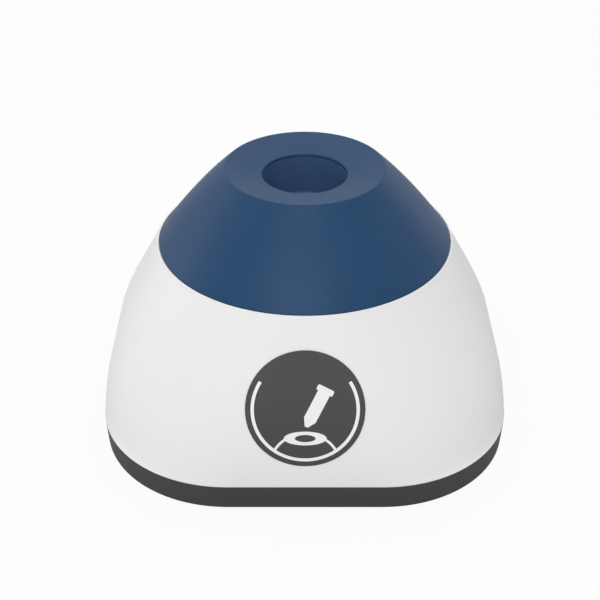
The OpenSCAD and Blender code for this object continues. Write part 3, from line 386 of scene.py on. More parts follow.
def combine(item, grids, operation):
    """Cuts the solid that the grids make out of item, or joins it on, for good."""
    other = new_object("tool", grids)
    modifier = item.modifiers.new("combine", "BOOLEAN")
    modifier.operation = operation
    modifier.solver = "EXACT"
    modifier.object = other
    graph = bpy.context.evaluated_depsgraph_get()
    mesh = bpy.data.meshes.new_from_object(item.evaluated_get(graph))
    item.modifiers.clear()
    item.data = mesh
    bpy.data.objects.remove(other)
    tidy_mesh(mesh, merge=5e-6)


def dress(item, slot, body, stands_for=()):
    """Gives a piece its finish and its body, and hides the CAD nodes that it stands for."""
    item.data.materials.clear()
    item.data.materials.append(finish(slot))
    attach(item, body)
    if stands_for:
        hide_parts(*stands_for)
    return item


def node_slot(node):
    """The record's material slot of a CAD node."""
    return next(part["material_slot"] for part in frame["record"]["subparts"] if part["node"] == node)


def softened_copy(node, bevel):
    """A CAD node's solid as a piece of its own, merged, with its sharp edges bevelled."""
    item = bpy.data.objects.new(node + "_finished", frame["nodes"][node].data.copy())
    bpy.context.scene.collection.objects.link(item)
    tidy_mesh(item.data)
    modifier = item.modifiers.new("edges", "BEVEL")
    modifier.width = bevel * MM
    modifier.segments = 2
    modifier.limit_method = "ANGLE"
    modifier.angle_limit = math.radians(40)
    modifier.use_clamp_overlap = True
    modifier.harden_normals = True
    dress(item, node_slot(node), "root", [node])


# ---- Material tools ----


class Wire:
    """A node's output in a tree of nodes. Arithmetic on it adds Math nodes to the tree."""

    def __init__(self, tree, socket):
        self.tree = tree
        self.socket = socket

    def maths(self, operation, *values):
        """Adds a Math node on this wire and more values."""
        inputs = dict(enumerate((self, *values)))
        return add_node(self.tree, "ShaderNodeMath", {"operation": operation}, inputs)

    def __add__(self, other):
        return self.maths("ADD", other)

    __radd__ = __add__

    def __sub__(self, other):
        return self.maths("SUBTRACT", other)

    def __rsub__(self, other):
        return add_node(self.tree, "ShaderNodeMath", {"operation": "SUBTRACT"}, {0: other, 1: self})

    def __mul__(self, other):
        return self.maths("MULTIPLY", other)

    __rmul__ = __mul__

    def __pow__(self, other):
        return self.maths("POWER", other)

    def clamped(self):
        """This value, held between 0 and 1."""
        return add_node(self.tree, "ShaderNodeClamp", None, {"Value": self})

    def wave(self, pitch):
        """A sine wave of this value between 0 and 1, pitch millimetres long."""
        return (self * (TURN / (pitch * MM))).maths("SINE") * 0.5 + 0.5


def socket_of(node, key):
    """An input by its place, its identifier or its name."""
    if isinstance(key, int):
        return node.inputs[key]
    by_identifier = [s for s in node.inputs if s.identifier == key]
    return by_identifier[0] if by_identifier else node.inputs[key]


def feed(tree, socket, value):
    """Links a wire to a socket, or sets the socket to a value."""
    if isinstance(value, Wire):
        tree.links.new(value.socket, socket)
    elif isinstance(value, tuple) and len(value) == 3 and socket.type == "RGBA":
        socket.default_value = (*value, 1.0)
    else:
        socket.default_value = value


def add_node(tree, kind, settings=None, inputs=None, output=0):
    """Adds a node of a kind: settings first (stops are a ramp's (place, grey) pairs), then its inputs."""
    node = tree.nodes.new(kind)
    for key, value in (settings or {}).items():
        if key != "stops":
            setattr(node, key, value)
            continue
        for element, (place, grey) in zip(node.color_ramp.elements, value):
            element.position = place
            element.color = (grey, grey, grey, 1.0)
    for key, value in (inputs or {}).items():
        feed(tree, socket_of(node, key), value)
    return Wire(tree, node.outputs[output]) if node.outputs else None


class Finish:
    """A slot's material being made: its tree, its object coordinates and its Principled surface."""

    def __init__(self, slot):
        self.material = bpy.data.materials.new(slot + "_finish")
        self.material.use_nodes = True
        self.tree = self.material.node_tree
        self.place = self.node("ShaderNodeTexCoord", None, None, "Object")

    def node(self, kind, settings=None, inputs=None, output=0):
        """Adds a node to this material."""
        return add_node(self.tree, kind, settings, inputs, output)

    def noise(self, size, detail=2.0, roughness=0.5, place=None):
        """Cloudy noise whose features are about size millimetres across."""
        scale = 1 / (size * MM)
        inputs = {"Vector": place or self.place, "Scale": scale, "Detail": detail, "Roughness": roughness}
        return self.node("ShaderNodeTexNoise", None, inputs)

    def cells(self, size):
        """Distance to the nearest of points that lie about size millimetres apart."""
        return self.node("ShaderNodeTexVoronoi", None, {"Vector": self.place, "Scale": 1 / (size * MM)})

    def stretched(self, stretch):
        """Object coordinates scaled along each axis, for grain that runs one way."""
        return self.node("ShaderNodeMapping", None, {"Vector": self.place, "Scale": stretch})

    def parts(self):
        """The x, y and z of the object coordinates."""
        splitter = self.node("ShaderNodeSeparateXYZ", None, {"Vector": self.place})
        return [Wire(self.tree, socket) for socket in splitter.socket.node.outputs]

    def ramp(self, value, black, white):
        """A value spread from 0 at black to 1 at white, and held between them."""
        return self.node("ShaderNodeValToRGB", {"stops": ((black, 0.0), (white, 1.0))}, {"Fac": value})

    def mixed(self, share, low, high):
        """A colour between low and high."""
        inputs = {"Factor_Float": share, "A_Color": low, "B_Color": high}
        return self.node("ShaderNodeMix", {"data_type": "RGBA"}, inputs, 2)

    def toned(self, share, tint, low, high):
        """A colour between two shades of a tint: low times it and high times it."""
        dark, light = (tuple(min(1.0, part * factor) for part in tint) for factor in (low, high))
        return self.mixed(share, dark, light)

    def relief(self, height, depth, strength, over=None):
        """A normal that shows height as relief of a depth in millimetres, over an earlier relief."""
        inputs = {"Height": height, "Distance": depth * MM, "Strength": strength}
        if over is not None:
            inputs["Normal"] = over
        return self.node("ShaderNodeBump", None, inputs)

    def done(self, tone, gloss, skin, metal=0.0, level=0.5):
        """Sets the surface's colour, roughness, normal, share of metal and level of mirror light."""
        names = ("Base Color", "Roughness", "Normal", "Metallic", "Specular IOR Level")
        surface = self.tree.nodes["Principled BSDF"]
        for name, value in zip(names, (tone, gloss, skin, metal, level)):
            feed(self.tree, surface.inputs[name], value)


# ---- Finishes ----


def moulded(made, tint, roughness, grain, depth, drift=0.04, level=0.5):
    """Moulded plastic: a spark-eroded grain of small cells, and a slow drift of colour and gloss."""
    slow = made.noise(14, 2)
    fine = made.cells(grain)
    gloss = roughness - 0.04 + slow * 0.05 + fine * 0.06
    skin = made.relief(fine * 0.6 + made.noise(grain * 2.5, 3) * 0.4, depth, 0.6)
    made.done(made.toned(slow, tint, 1 - drift, 1 + drift), gloss, skin, level=level)


def rubbery(made, tint, roughness, drift, level):
    """Moulded rubber: matt, with a fine blasted grain and faint cloudy rub marks."""
    rubs = made.ramp(made.noise(9, 4, 0.6), 0.3, 0.75)
    grain = made.noise(0.12, 3, 0.7)
    gloss = roughness - 0.05 + rubs * 0.05 + grain * 0.06
    skin = made.relief(grain, 0.004, 0.4, made.relief(made.noise(1.8, 2), 0.01, 0.2))
    made.done(made.toned(rubs, tint, 1 - drift, 1 + drift), gloss, skin, level=level)


def drawn_metal(made, tint, roughness, stretch, line=0.25):
    """Metal with fine lines that run the way it was drawn or ground: noise squeezed across that way."""
    lines = made.noise(line, 4, 0.65, made.stretched(stretch))
    blotch = made.noise(6, 3)
    gloss = roughness - 0.06 + lines * 0.12 + blotch * 0.04
    made.done(made.toned(blotch, tint, 0.9, 1.05), gloss, made.relief(lines, 0.004, 0.5), 1.0)


def turned_metal(made, tint, roughness, pitch=0.18):
    """Metal turned on a lathe: fine rings around the upright axis, a wave of the radius and the height."""
    x, y, z = made.parts()
    rings = ((x * x + y * y) ** 0.5 + z).wave(pitch)
    blotch = made.noise(5, 3)
    gloss = roughness - 0.05 + rings * 0.06 + blotch * 0.06
    made.done(made.toned(blotch, tint, 0.92, 1.04), gloss, made.relief(rings, 0.002, 0.4), 1.0)


def plated_metal(made, tint, roughness):
    """Plated steel: a crystal bloom of large and small cells in its gloss and tone."""
    bloom = made.cells(1.1) * 0.6 + made.noise(0.5, 3) * 0.4
    skin = made.relief(made.noise(0.2, 3), 0.003, 0.4)
    made.done(made.toned(bloom, tint, 0.88, 1.08), roughness - 0.06 + bloom * 0.14, skin, 1.0)


def coated_metal(made, tint, roughness):
    """Black oxide or phosphate on steel: dark, faintly mottled, with wear that shows as lighter patches."""
    wear = made.ramp(made.noise(1.2, 5, 0.7), 0.55, 0.8)
    skin = made.relief(made.noise(0.15, 3), 0.004, 0.5)
    made.done(made.toned(wear, tint, 1, 2.2), roughness - wear * 0.1, skin, 0.6)


def film(made, tint):
    """Satin film: a very fine even sand."""
    sand = made.noise(0.09, 2, 0.7)
    tone = made.toned(made.noise(7, 2), tint, 0.96, 1.04)
    made.done(tone, 0.4 + sand * 0.08, made.relief(sand, 0.004, 0.5), level=0.3)


def ink(made, tint):
    """Pad-printed ink, with its slight mottle."""
    mottle = made.noise(0.3, 4, 0.6)
    made.done(made.toned(mottle, tint, 0.97, 1.02), 0.45 + mottle * 0.1, made.relief(mottle, 0.004, 0.4))


def sleeve(made, tint):
    """Smooth glossy sleeve or insulation, with faint drawn streaks."""
    streaks = made.noise(0.6, 3, 0.5, made.stretched((1, 1, 0.3)))
    made.done(made.toned(streaks, tint, 0.9, 1.1), 0.3 + streaks * 0.1, made.relief(streaks, 0.01, 0.3))


def board(made, low, high):
    """Solder mask: the copper tracks below it show as a raised grid of runs."""
    bricks = {
        "Vector": made.place, "Scale": 420.0, "Mortar Size": 0.03, "Brick Width": 0.9, "Row Height": 0.35,
    }
    tracks = made.node("ShaderNodeTexBrick", {"offset": 0.5, "squash": 0.6}, bricks, "Fac")
    gloss = 0.3 + made.noise(2, 3) * 0.1
    made.done(made.mixed(tracks, low, high), gloss, made.relief(tracks, 0.03, 0.5))


def windings(made, low, high):
    """Enamelled wire wound side by side: a fine wave up the armature, which raises each turn and paints it
    lighter on its crest and darker in the groove between turns: painted highlight and painted shade.
    """
    turns = made.parts()[2].wave(0.35)
    gloss = 0.25 + made.noise(0.8, 3) * 0.12
    # Painted highlight on the crests and painted shade in the grooves between turns.
    made.done(made.mixed(turns, low, high), gloss, made.relief(turns, 0.08, 0.7), 0.8)


def pitted(made, low, high, roughness, size, start, polish, depth, strength, metal=0.0):
    """Ground ferrite or sintered bronze: pits of fine cells, in a smoother and lighter face; the pits' darker
    colour is painted shade in the hollows.
    """
    face = made.ramp(made.cells(size), start, start + 0.25)
    skin = made.relief(face, depth, strength)
    made.done(made.mixed(face, low, high), roughness - face * polish, skin, metal)


FINISHES = {
    "white_shell": (moulded, "shell", 0.44, 0.22, 0.006, 0.012, 0.45),
    "grey_base": (moulded, "pan", 0.55, 0.25, 0.012, 0.05, 0.25),
    "foot_rubber": (rubbery, "feet", 0.6, 0.1, 0.3),
    "boot_rubber": (rubbery, "boot", 0.4, 0.05, 0.15),
    # The cup's tint is painted lighter to stand in for light inside the well.
    "cup_plastic": (moulded, "cup", 0.45, 0.2, 0.006, 0.03, 0.35),
    "badge_grey": (film, "badge"),
    "badge_white": (ink, "drawing"),
    "board_green": (board, (0.012, 0.14, 0.055), (0.02, 0.2, 0.08)),
    "winding_copper": (windings, (0.18, 0.05, 0.02), (0.5, 0.2, 0.08)),
    "ferrite": (pitted, (0.03, 0.03, 0.032), (0.06, 0.06, 0.063), 0.75, 0.5, 0.1, 0.1, 0.03, 0.5),
    "bronze": (pitted, (0.2, 0.12, 0.05), (0.55, 0.36, 0.16), 0.5, 0.18, 0.15, 0.12, 0.01, 0.6, 0.9),
    "zinc_steel": (plated_metal, (0.6, 0.6, 0.63), 0.34),
    "ballast_steel": (plated_metal, (0.42, 0.42, 0.43), 0.42),
    "ground_steel": (turned_metal, (0.66, 0.66, 0.68), 0.24),
    "spring_steel": (coated_metal, (0.07, 0.07, 0.075), 0.42),
    "spring_wire": (drawn_metal, (0.6, 0.6, 0.62), 0.28, (1, 1, 0.3), 0.2),
    "aluminium_plate": (drawn_metal, (0.72, 0.72, 0.74), 0.34, (1, 14, 14)),
    "motor_steel": (drawn_metal, (0.58, 0.58, 0.6), 0.3, (6, 6, 1)),
    "black_plastic": (moulded, (0.014, 0.014, 0.015), 0.45, 0.2, 0.01, 0.1, 0.4),
    "tinned_brass": (plated_metal, (0.7, 0.66, 0.5), 0.3),
    "commutator_copper": (turned_metal, (0.62, 0.32, 0.17), 0.28),
    "weight_brass": (turned_metal, (0.63, 0.48, 0.2), 0.26),
    "black_steel": (coated_metal, (0.025, 0.025, 0.027), 0.38),
    "bearing_steel": (turned_metal, (0.74, 0.74, 0.76), 0.12, 0.08),
    "cage_plastic": (moulded, (0.25, 0.13, 0.05), 0.5, 0.2, 0.01),
    "red_plastic": (moulded, (0.45, 0.03, 0.02), 0.38, 0.2, 0.006),
    "capacitor_sleeve": (sleeve, (0.02, 0.03, 0.09)),
    "connector_nylon": (moulded, (0.72, 0.69, 0.6), 0.5, 0.25, 0.01),
    "red_lead": (sleeve, (0.42, 0.02, 0.02)),
    "black_lead": (sleeve, (0.02, 0.02, 0.02)),
}


def finish(slot):
    """The material of a slot, made the first time that it is asked for."""
    known = bpy.data.materials.get(slot + "_finish")
    if known:
        return known
    maker, tint, *numbers = FINISHES[slot]
    if isinstance(tint, str):
        tint = getattr(bpy.context.scene.mixer_colours, tint)
    made = Finish(slot)
    maker(made, tint, *numbers)
    return made.material


# ---- Housing ----


def four_places(x, y):
    """The four places at plus and minus x and y."""
    return [(side * x, end * y) for side in (-1, 1) for end in (-1, 1)]


# Columns in a ring, then lengths. OVERCUT is how far a tool solid reaches past the face that it works on.
COLUMNS = 192
BORE_COLUMNS = 48
FOOT_COLUMNS = 64
CUP_COLUMNS = 96
BADGE_COLUMNS = 144
OVERCUT = 1.0
SHELL_SCREWS = four_places(41.6, 15.0)
FEET = four_places(31.0, 31.0)
BALLAST_SCREWS = four_places(21.5, 21.5)
SHELL_BOSS_R = 3.8
SHELL_BOSS_H = 16.0
BOSS_LOW_Z = BALLAST_TOP_Z + 0.1
BOSS_EDGE = 0.3
COLLAR_WALL = 2.2
M3_HOLE_R = 1.52
M3_HOLE_DEPTH = 11.0
JACK_HOLE_R = 4.55
WELL_CHAMFER = 0.25


def turned_solids(path, places, columns=BORE_COLUMNS):
    """Copies of one turned solid, whose path starts and ends on its axis, at several places."""
    path = np.asarray(path, float)
    faces = grid_faces(len(path), columns)
    return [(turned(path, columns, place), faces) for place in places]


def stepped(*turns):
    """Corners of a stepped profile, from its radii and heights in turn: each step moves one way only."""
    return [[turns[k + k % 2], turns[k + 1 - k % 2]] for k in range(len(turns) - 1)]


def post(radius, low, high, edge=0.0, steps=6):
    """A solid post's profile, with its upper edge rounded."""
    return rounded(stepped(0, low, radius, high, 0), [0, 0, edge, 0], steps, closed=False)


def laid(path, wrap=False):
    """A form turned on the socket's level axis, as a grid: the path's heights are its places along Y."""
    rings = turned(np.asarray(path, float), BORE_COLUMNS)
    grid = np.stack([rings[..., 0], rings[..., 2], JACK_AXIS_Z + rings[..., 1]], axis=-1)
    return [(grid, grid_faces(len(path), BORE_COLUMNS, wrap_rows=wrap))]


def shell_loop(sizes):
    """The shell's closed profile: side, rim, deck, collar, lip, deck opening, underside and inner wall."""
    rise = side_path(sizes, np.linspace(0.02, 0.985, 30))
    side = np.column_stack([rise, shell_flat(sizes, rise[:, 1])])
    top, under = sizes.top_z, sizes.top_z - sizes.deck
    fall = np.linspace(under - 1.5, sizes.parting_z + 1, 20)
    inner = np.column_stack([shell_half_width(sizes, fall) - sizes.wall, fall, shell_flat(sizes, fall)])
    collar_in = sizes.collar - COLLAR_WALL
    inner_top = shell_half_width(sizes, under) - sizes.wall
    foot_in = sizes.half_width - sizes.wall
    foot = [[foot_in, sizes.parting_z, sizes.flat], [sizes.half_width, sizes.parting_z, sizes.flat]]
    rim_out = sizes.top_radius - math.tan(sizes.top_lean) * sizes.rim_height
    rim_z = top + sizes.rim_height
    collar = stepped(
        sizes.rim_radius, top, sizes.collar, LIP_TOP_Z - sizes.lip_height,
        sizes.lip, LIP_TOP_Z, collar_in, top, sizes.opening, under,
    )
    deck = [
        [sizes.top_radius, top, sizes.flat_least],
        [rim_out, rim_z, sizes.flat_least],
        [sizes.rim_radius, rim_z, 0],
        *([radius, z, 0] for radius, z in collar),
        [inner_top, under, shell_flat(sizes, under)],
    ]
    deck_radii = [0, 0.15, 0.08, 0.15, 0.4, 0.2, 0.2, 0.3, 0.3, 0.4, 0.3, 0.3, 0.8]
    radii = [0.15, sizes.part_round] + [0] * len(side) + deck_radii + [0] * len(inner)
    return rounded(np.vstack([foot, side, deck, inner]), radii)


class MIXER_OT_shell(bpy.types.Operator):
    """Build the white moulded shell"""

    bl_idname = "mixer.shell"
    bl_label = "Shell"

    def execute(self, context):
        shell = solid("housing_shell", outlined(shell_loop(context.scene.mixer_housing), COLUMNS), True)
        boss = post(SHELL_BOSS_R, BOSS_LOW_Z, BOSS_LOW_Z + SHELL_BOSS_H, BOSS_EDGE)
        combine(shell, turned_solids(boss, SHELL_SCREWS), "UNION")
        low, high, tip = BOSS_LOW_Z - OVERCUT, BOSS_LOW_Z + M3_HOLE_DEPTH, BOSS_LOW_Z + M3_HOLE_DEPTH + 1
        hole = [[0, low], [M3_HOLE_R, low], [M3_HOLE_R, high], [0, tip]]
        combine(shell, turned_solids(hole, SHELL_SCREWS), "DIFFERENCE")
        socket_hole = post(JACK_HOLE_R, JACK_BACK_Y - 4.5, JACK_BACK_Y + 7.5)
        combine(shell, laid(socket_hole), "DIFFERENCE")
        dress(shell, "white_shell", "root", ["main_shell"])
        return {"FINISHED"}


def well_path(radius, depth, hole_radius, hole_depth):
    """A well in the pan's underside, chamfered where it opens, with a narrower hole through its floor."""
    mouth = radius + WELL_CHAMFER
    walls = [(mouth, -OVERCUT), (mouth, 0), (radius, WELL_CHAMFER), (radius, depth)]
    hole = [(hole_radius, depth), (hole_radius, hole_depth)]
    return [[r, PAN_Z + z] for r, z in [(0, -OVERCUT), *walls, *hole, (0, hole_depth)]]


class MIXER_OT_pan(bpy.types.Operator):
    """Build the dark base pan with its tongue, bosses, foot recesses and screw wells"""

    bl_idname = "mixer.pan"
    bl_label = "Base pan"

    def execute(self, context):
        sizes = context.scene.mixer_housing
        tongue = sizes.half_width - sizes.wall - sizes.tongue_gap
        low_half = sizes.half_width - sizes.draft
        floor_z = PAN_Z + sizes.pan_floor
        lining = tongue - sizes.tongue_wall
        flat, parting = sizes.flat, sizes.parting_z
        top_flat = float(shell_flat(sizes, TONGUE_TOP_Z))
        corners = [
            [0, PAN_Z, 0], [low_half * 0.5, PAN_Z, flat * 0.5], [low_half, PAN_Z, flat],
            [sizes.half_width, parting, flat], [tongue, parting, flat],
            [tongue, TONGUE_TOP_Z, top_flat], [lining, TONGUE_TOP_Z, top_flat], [lining, parting, flat],
            [lining - sizes.draft, floor_z, flat], [lining * 0.5, floor_z, flat * 0.5], [0, floor_z, 0],
        ]
        radii = [0, 0, sizes.edge_round, sizes.part_round, 0.15, 0.25, 0.25, 0, 0.8, 0, 0]
        pan = solid("base_pan_body", outlined(rounded(corners, radii, closed=False), COLUMNS))
        boss = post(SHELL_BOSS_R, floor_z - 0.5, BOSS_LOW_Z, BOSS_EDGE)
        combine(pan, turned_solids(boss, SHELL_SCREWS), "UNION")
        wells = (
            turned_solids(well_path(3.1, 3.0, M3_HOLE_R, 12), SHELL_SCREWS)
            + turned_solids(well_path(7.7, 1.0, 2.02, 4), FEET)
            + turned_solids(well_path(3.0, 1.6, 1.7, 4), BALLAST_SCREWS)
        )
        combine(pan, wells, "DIFFERENCE")
        dress(pan, "grey_base", "root", ["base_pan"])
        return {"FINISHED"}


class MIXER_OT_feet(bpy.types.Operator):
    """Build the four suction feet"""

    bl_idname = "mixer.feet"
    bl_label = "Suction feet"

    def execute(self, context):
        radius, thickness = 7.5, 3.0
        stem_r, stem_z = 2.0, 4.5
        hollow, depth = 5.6, 1.0
        ball = (hollow**2 + depth**2) / (2 * depth)
        cap = np.linspace(0, 0.94, 9) * hollow
        dome = np.column_stack([cap, depth - ball + np.sqrt(ball**2 - cap**2)])
        pad = [[hollow, 0], [radius - 0.5, 0], [radius, 0.9], [radius, thickness]]
        stem = [[stem_r, thickness], [stem_r, stem_z], [0, stem_z]]
        radii = [0] * len(dome) + [0.2, 0.3, 0.4, 0.3, 0.15, 0.3, 0]
        path = rounded(np.vstack([dome, pad, stem]), radii, closed=False)
        feet = new_object("rubber_feet", turned_solids(path, FEET, FOOT_COLUMNS))
        dress(feet, "foot_rubber", "root", ["suction_feet"])
        return {"FINISHED"}


# ---- Boot and cup ----


def smooth_step(value):
    """0 to 1 with level ends: 3 t^2 - 2 t^3."""
    t = np.clip(value, 0, 1)
    return t * t * (3 - 2 * t)


def boot_flank(sizes, share, inset):
    """The boot's flank: a straight run from foot to top, bowed out by 4 bow t (1 - t), then inset."""
    t = np.asarray(share, float)
    run = sizes.foot_radius - sizes.top_radius
    rise = BOOT_TOP_Z - BOOT_FOOT_Z
    radius = sizes.foot_radius - run * t + 4 * sizes.bow * t * (1 - t)
    lean = np.arctan((run - 4 * sizes.bow * (1 - 2 * t)) / rise)
    return np.column_stack([radius - inset * np.cos(lean), BOOT_FOOT_Z + rise * t - inset * np.sin(lean)])


class MIXER_OT_boot(bpy.types.Operator):
    """Build the blue rubber boot"""

    bl_idname = "mixer.boot"
    bl_label = "Boot"

    def execute(self, context):
        sizes = context.scene.mixer_boot
        mouth_z = BOOT_TOP_Z - sizes.dish
        slope = sizes.dish / (sizes.top_radius - sizes.mouth_radius)
        under_z = mouth_z - sizes.top_wall
        corner_r = sizes.top_radius - sizes.wall * 0.8
        corner_z = under_z + slope * (corner_r - sizes.mouth_radius)
        bead_r = context.scene.mixer_housing.collar + 0.4
        bead_z = BOOT_FOOT_Z + sizes.bead
        foot_z = BOOT_FOOT_Z - sizes.foot_drop
        outer = boot_flank(sizes, np.linspace(0.0, 0.95, 27), 0)
        inner = boot_flank(sizes, np.linspace(0.86, 0.12, 14), sizes.wall)
        foot = [[bead_r, bead_z], [bead_r, foot_z], [sizes.foot_radius, foot_z]]
        mouth = [[sizes.mouth_radius, mouth_z], [sizes.mouth_radius, under_z]]
        top = [[sizes.top_radius, BOOT_TOP_Z], *mouth, [corner_r, corner_z]]
        knee = [[sizes.foot_radius - sizes.wall * 1.7, bead_z]]
        top_radii = [sizes.crease_round, sizes.mouth_round, 0.05, 0.8]
        radii = [0.2, 0.2, 0.05] + [0] * len(outer) + top_radii + [0] * len(inner) + [0.4]
        path = rounded(np.vstack([foot, outer, top, inner, knee]), radii)
        lean_low = BOOT_FOOT_Z + 0.6
        lean = ORBIT_R * smooth_step((path[:, 1] - lean_low) / (CUP_TOP_Z + 0.4 - lean_low))
        boot = solid("rubber_boot", turned(path, COLUMNS, (0.0, lean)), True)
        dress(boot, "boot_rubber", "rotor", ["flexible_boot"])
        return {"FINISHED"}


def gussets(count, inner, outer):
    """Ribs of the cup: closed wedges, whose sides are triangles of two inner corners and an outer one."""
    half = 0.8
    triangle = np.array([inner[0], outer, inner[1]])
    ends = np.array([triangle.mean(axis=0)] * 3)
    profile = np.stack([ends, triangle, triangle, ends])
    across = np.array([-half, -half, half, half])[:, None] + np.zeros((4, 3))
    ribs = []
    for turn in (np.arange(count) + 0.5) * (TURN / count):
        x = profile[..., 0] * math.cos(turn) - across * math.sin(turn)
        y = ORBIT_R + profile[..., 0] * math.sin(turn) + across * math.cos(turn)
        ribs.append((np.stack([x, y, profile[..., 1]], axis=-1), grid_faces(4, 3)))
    return ribs


class MIXER_OT_cup(bpy.types.Operator):
    """Build the hard cup with its well, flange, hub and gussets"""

    bl_idname = "mixer.cup"
    bl_label = "Tube cup"

    def execute(self, context):
        sizes = context.scene.mixer_boot
        cavity_z = BEARING_TOP_Z + 1.4
        well_z = cavity_z + sizes.well_floor
        well_r, hub_r = sizes.well_radius, sizes.hub_radius
        outer_r = well_r + sizes.well_wall
        slope = sizes.dish / (sizes.top_radius - sizes.mouth_radius)
        mouth_z = BOOT_TOP_Z - sizes.dish - sizes.top_wall - sizes.seat_gap
        neck_z = mouth_z + slope * (well_r - sizes.mouth_radius)
        edge_z = mouth_z + slope * (FLANGE_R - sizes.mouth_radius)
        flange_z = neck_z - sizes.flange
        cavity_r = BEARING_R - 0.9
        seat_r = BEARING_R + 0.02
        groove_r, groove_z = BEARING_R + 0.42, BEARING_Z - 0.6
        corners = [
            *stepped(
                0, cavity_z, cavity_r, BEARING_TOP_Z, seat_r, BEARING_Z,
                groove_r, groove_z, seat_r, HUB_Z, hub_r, cavity_z,
            ),
            [outer_r, well_z + 2], [outer_r, flange_z],
            [FLANGE_R, edge_z - sizes.flange], [FLANGE_R, edge_z], [well_r, neck_z],
            [well_r, well_z + 0.8], [well_r * 0.3, well_z], [0, well_z],
        ]
        radii = [0, 0.2, 0.1, 0.1, 0, 0, 0, 0, 0.15, 0.4, 0.6, 0.8, 0.8, 0.4, 0.3, 0.05, 0.9, 1.5, 0]
        path = rounded(corners, radii, closed=False)
        cup = solid("tube_well_cup", turned(path, CUP_COLUMNS, (0.0, ORBIT_R)))
        inner = [[outer_r - 0.5, flange_z + 0.2], [outer_r - 0.5, well_z + 3.5]]
        ribs = gussets(sizes.gussets, inner, [FLANGE_R - 1, flange_z + 0.5])
        combine(cup, ribs, "UNION")
        dress(cup, "cup_plastic", "head", ["tube_cup"])
        return {"FINISHED"}


# ---- Badge ----

# Sizes of the drawing, in shares of the badge's radius: of the ring and the dome the two radii, of the cup's
# ellipses half the width and half the height, and of the tube's tip and cap half the width and the height.
RING_R = (0.851, 0.907)
RING_END = math.radians(32.5)
CUP_Y = -0.492
CUP_HOLE = (0.172, 0.064)
CUP_RIM = (0.356, 0.121)
DOME_Y = -0.998
DOME_R = (0.57, 0.613)
TUBE_LEAN = math.radians(27)
TUBE_MIDDLE = (0.186, 0.045)
TUBE_HALF_LENGTH = 0.375
TUBE_TIP = (0.028, 0.135)
TUBE_BODY = 0.108
TUBE_CAP = (0.148, 0.1)
TUBE_CAP_ROUND = 0.03


class FrontSkin:
    """The shell's leaning front as a drawing plane.

    A point (right, up) on the plane that touches the shell at the badge's middle is carried along the plane's
    normal on to the shell: its height follows from the distance travelled, and the shell's outline gives the
    depth there. A few rounds of the secant step bring the two together.
    """

    def __init__(self, housing, rise):
        self.housing = housing
        self.middle_z = housing.parting_z + rise
        self.middle_y = -float(shell_half_width(housing, self.middle_z))
        step = 0.5
        widths = shell_half_width(housing, np.array([self.middle_z - step, self.middle_z + step]))
        lean = math.atan((widths[0] - widths[1]) / (2 * step))
        self.along_y, self.along_z = math.sin(lean), math.cos(lean)

    def place(self, up, travel):
        """The y and z of a point at a height on the plane, carried along its normal."""
        y = self.middle_y + up * self.along_y - travel * self.along_z
        return y, self.middle_z + up * self.along_z + travel * self.along_y

    def depth(self, x, z):
        """The y of the shell's front at x and z: the straight run, or the corner's arc beside it."""
        flat = shell_flat(self.housing, z)
        beside = np.maximum(np.abs(x) - flat, 0)
        radius = shell_half_width(self.housing, z) - flat
        return -(flat + np.sqrt(np.maximum(radius**2 - beside**2, 0)))

    def points(self, right, up, lift):
        """Points of the drawing, lifted off the shell by lift along the badge's normal."""
        travel = np.zeros(np.broadcast(right, up).shape)
        for _ in range(8):
            y, z = self.place(up, travel)
            travel = travel - (self.depth(right, z) - y) / self.along_z
        y, z = self.place(up, travel + lift)
        return np.stack([right + 0 * z, y, z], axis=-1)


def inked(skin, right, up, low, high, wrap):
    """A thin closed slab over a grid of (right, up): its underside lies at low and its face at high."""
    under = skin.points(right, up, low)
    face = skin.points(right, up, high)
    rows, columns = right.shape
    faces = [grid_faces(rows, 2 * columns, wrap_rows=wrap)]
    if not wrap:
        c = np.arange(columns - 1)
        cap = np.stack([c, c + 1, 2 * columns - 2 - c, 2 * columns - 1 - c], axis=-1)
        faces += [cap, cap + (rows - 1) * 2 * columns]
    return np.concatenate([under, face[:, ::-1]], axis=1), np.vstack(faces)


def stroke(start, end, radii, low=0.0):
    """Grid of an arc stroke between two radii, from one angle to another, about a middle at height low."""
    angle = np.linspace(start, end, max(int(abs(end - start) / TURN * 160), 8))[:, None]
    radius = np.linspace(*radii, 4)[None, :]
    return radius * np.cos(angle), low + radius * np.sin(angle)


def cup_rim():
    """Grid of the cup's rim seen from above: a band between two ellipses."""
    angle = column_angles(96)[:, None]
    share = np.linspace(0, 1, 6)[None, :]
    wide, tall = (CUP_HOLE[k] + (CUP_RIM[k] - CUP_HOLE[k]) * share for k in (0, 1))
    return wide * np.cos(angle), CUP_Y + tall * np.sin(angle)


def dome_sweep(side):
    """Angles of one side of the dome's line, from where the ring stops it to where the rim hides it."""
    radius = sum(DOME_R) / 2
    angle = np.linspace(0, TURN / 4, 2000)
    x, y = radius * np.cos(angle), DOME_Y + radius * np.sin(angle)
    beyond_rim = (x / CUP_RIM[0]) ** 2 + ((y - CUP_Y) / CUP_RIM[1]) ** 2 > 0.97
    seen = angle[(np.hypot(x, y) < RING_R[0] + 0.01) & beyond_rim]
    return (seen[0], seen[-1]) if side else (math.pi - seen[-1], math.pi - seen[0])


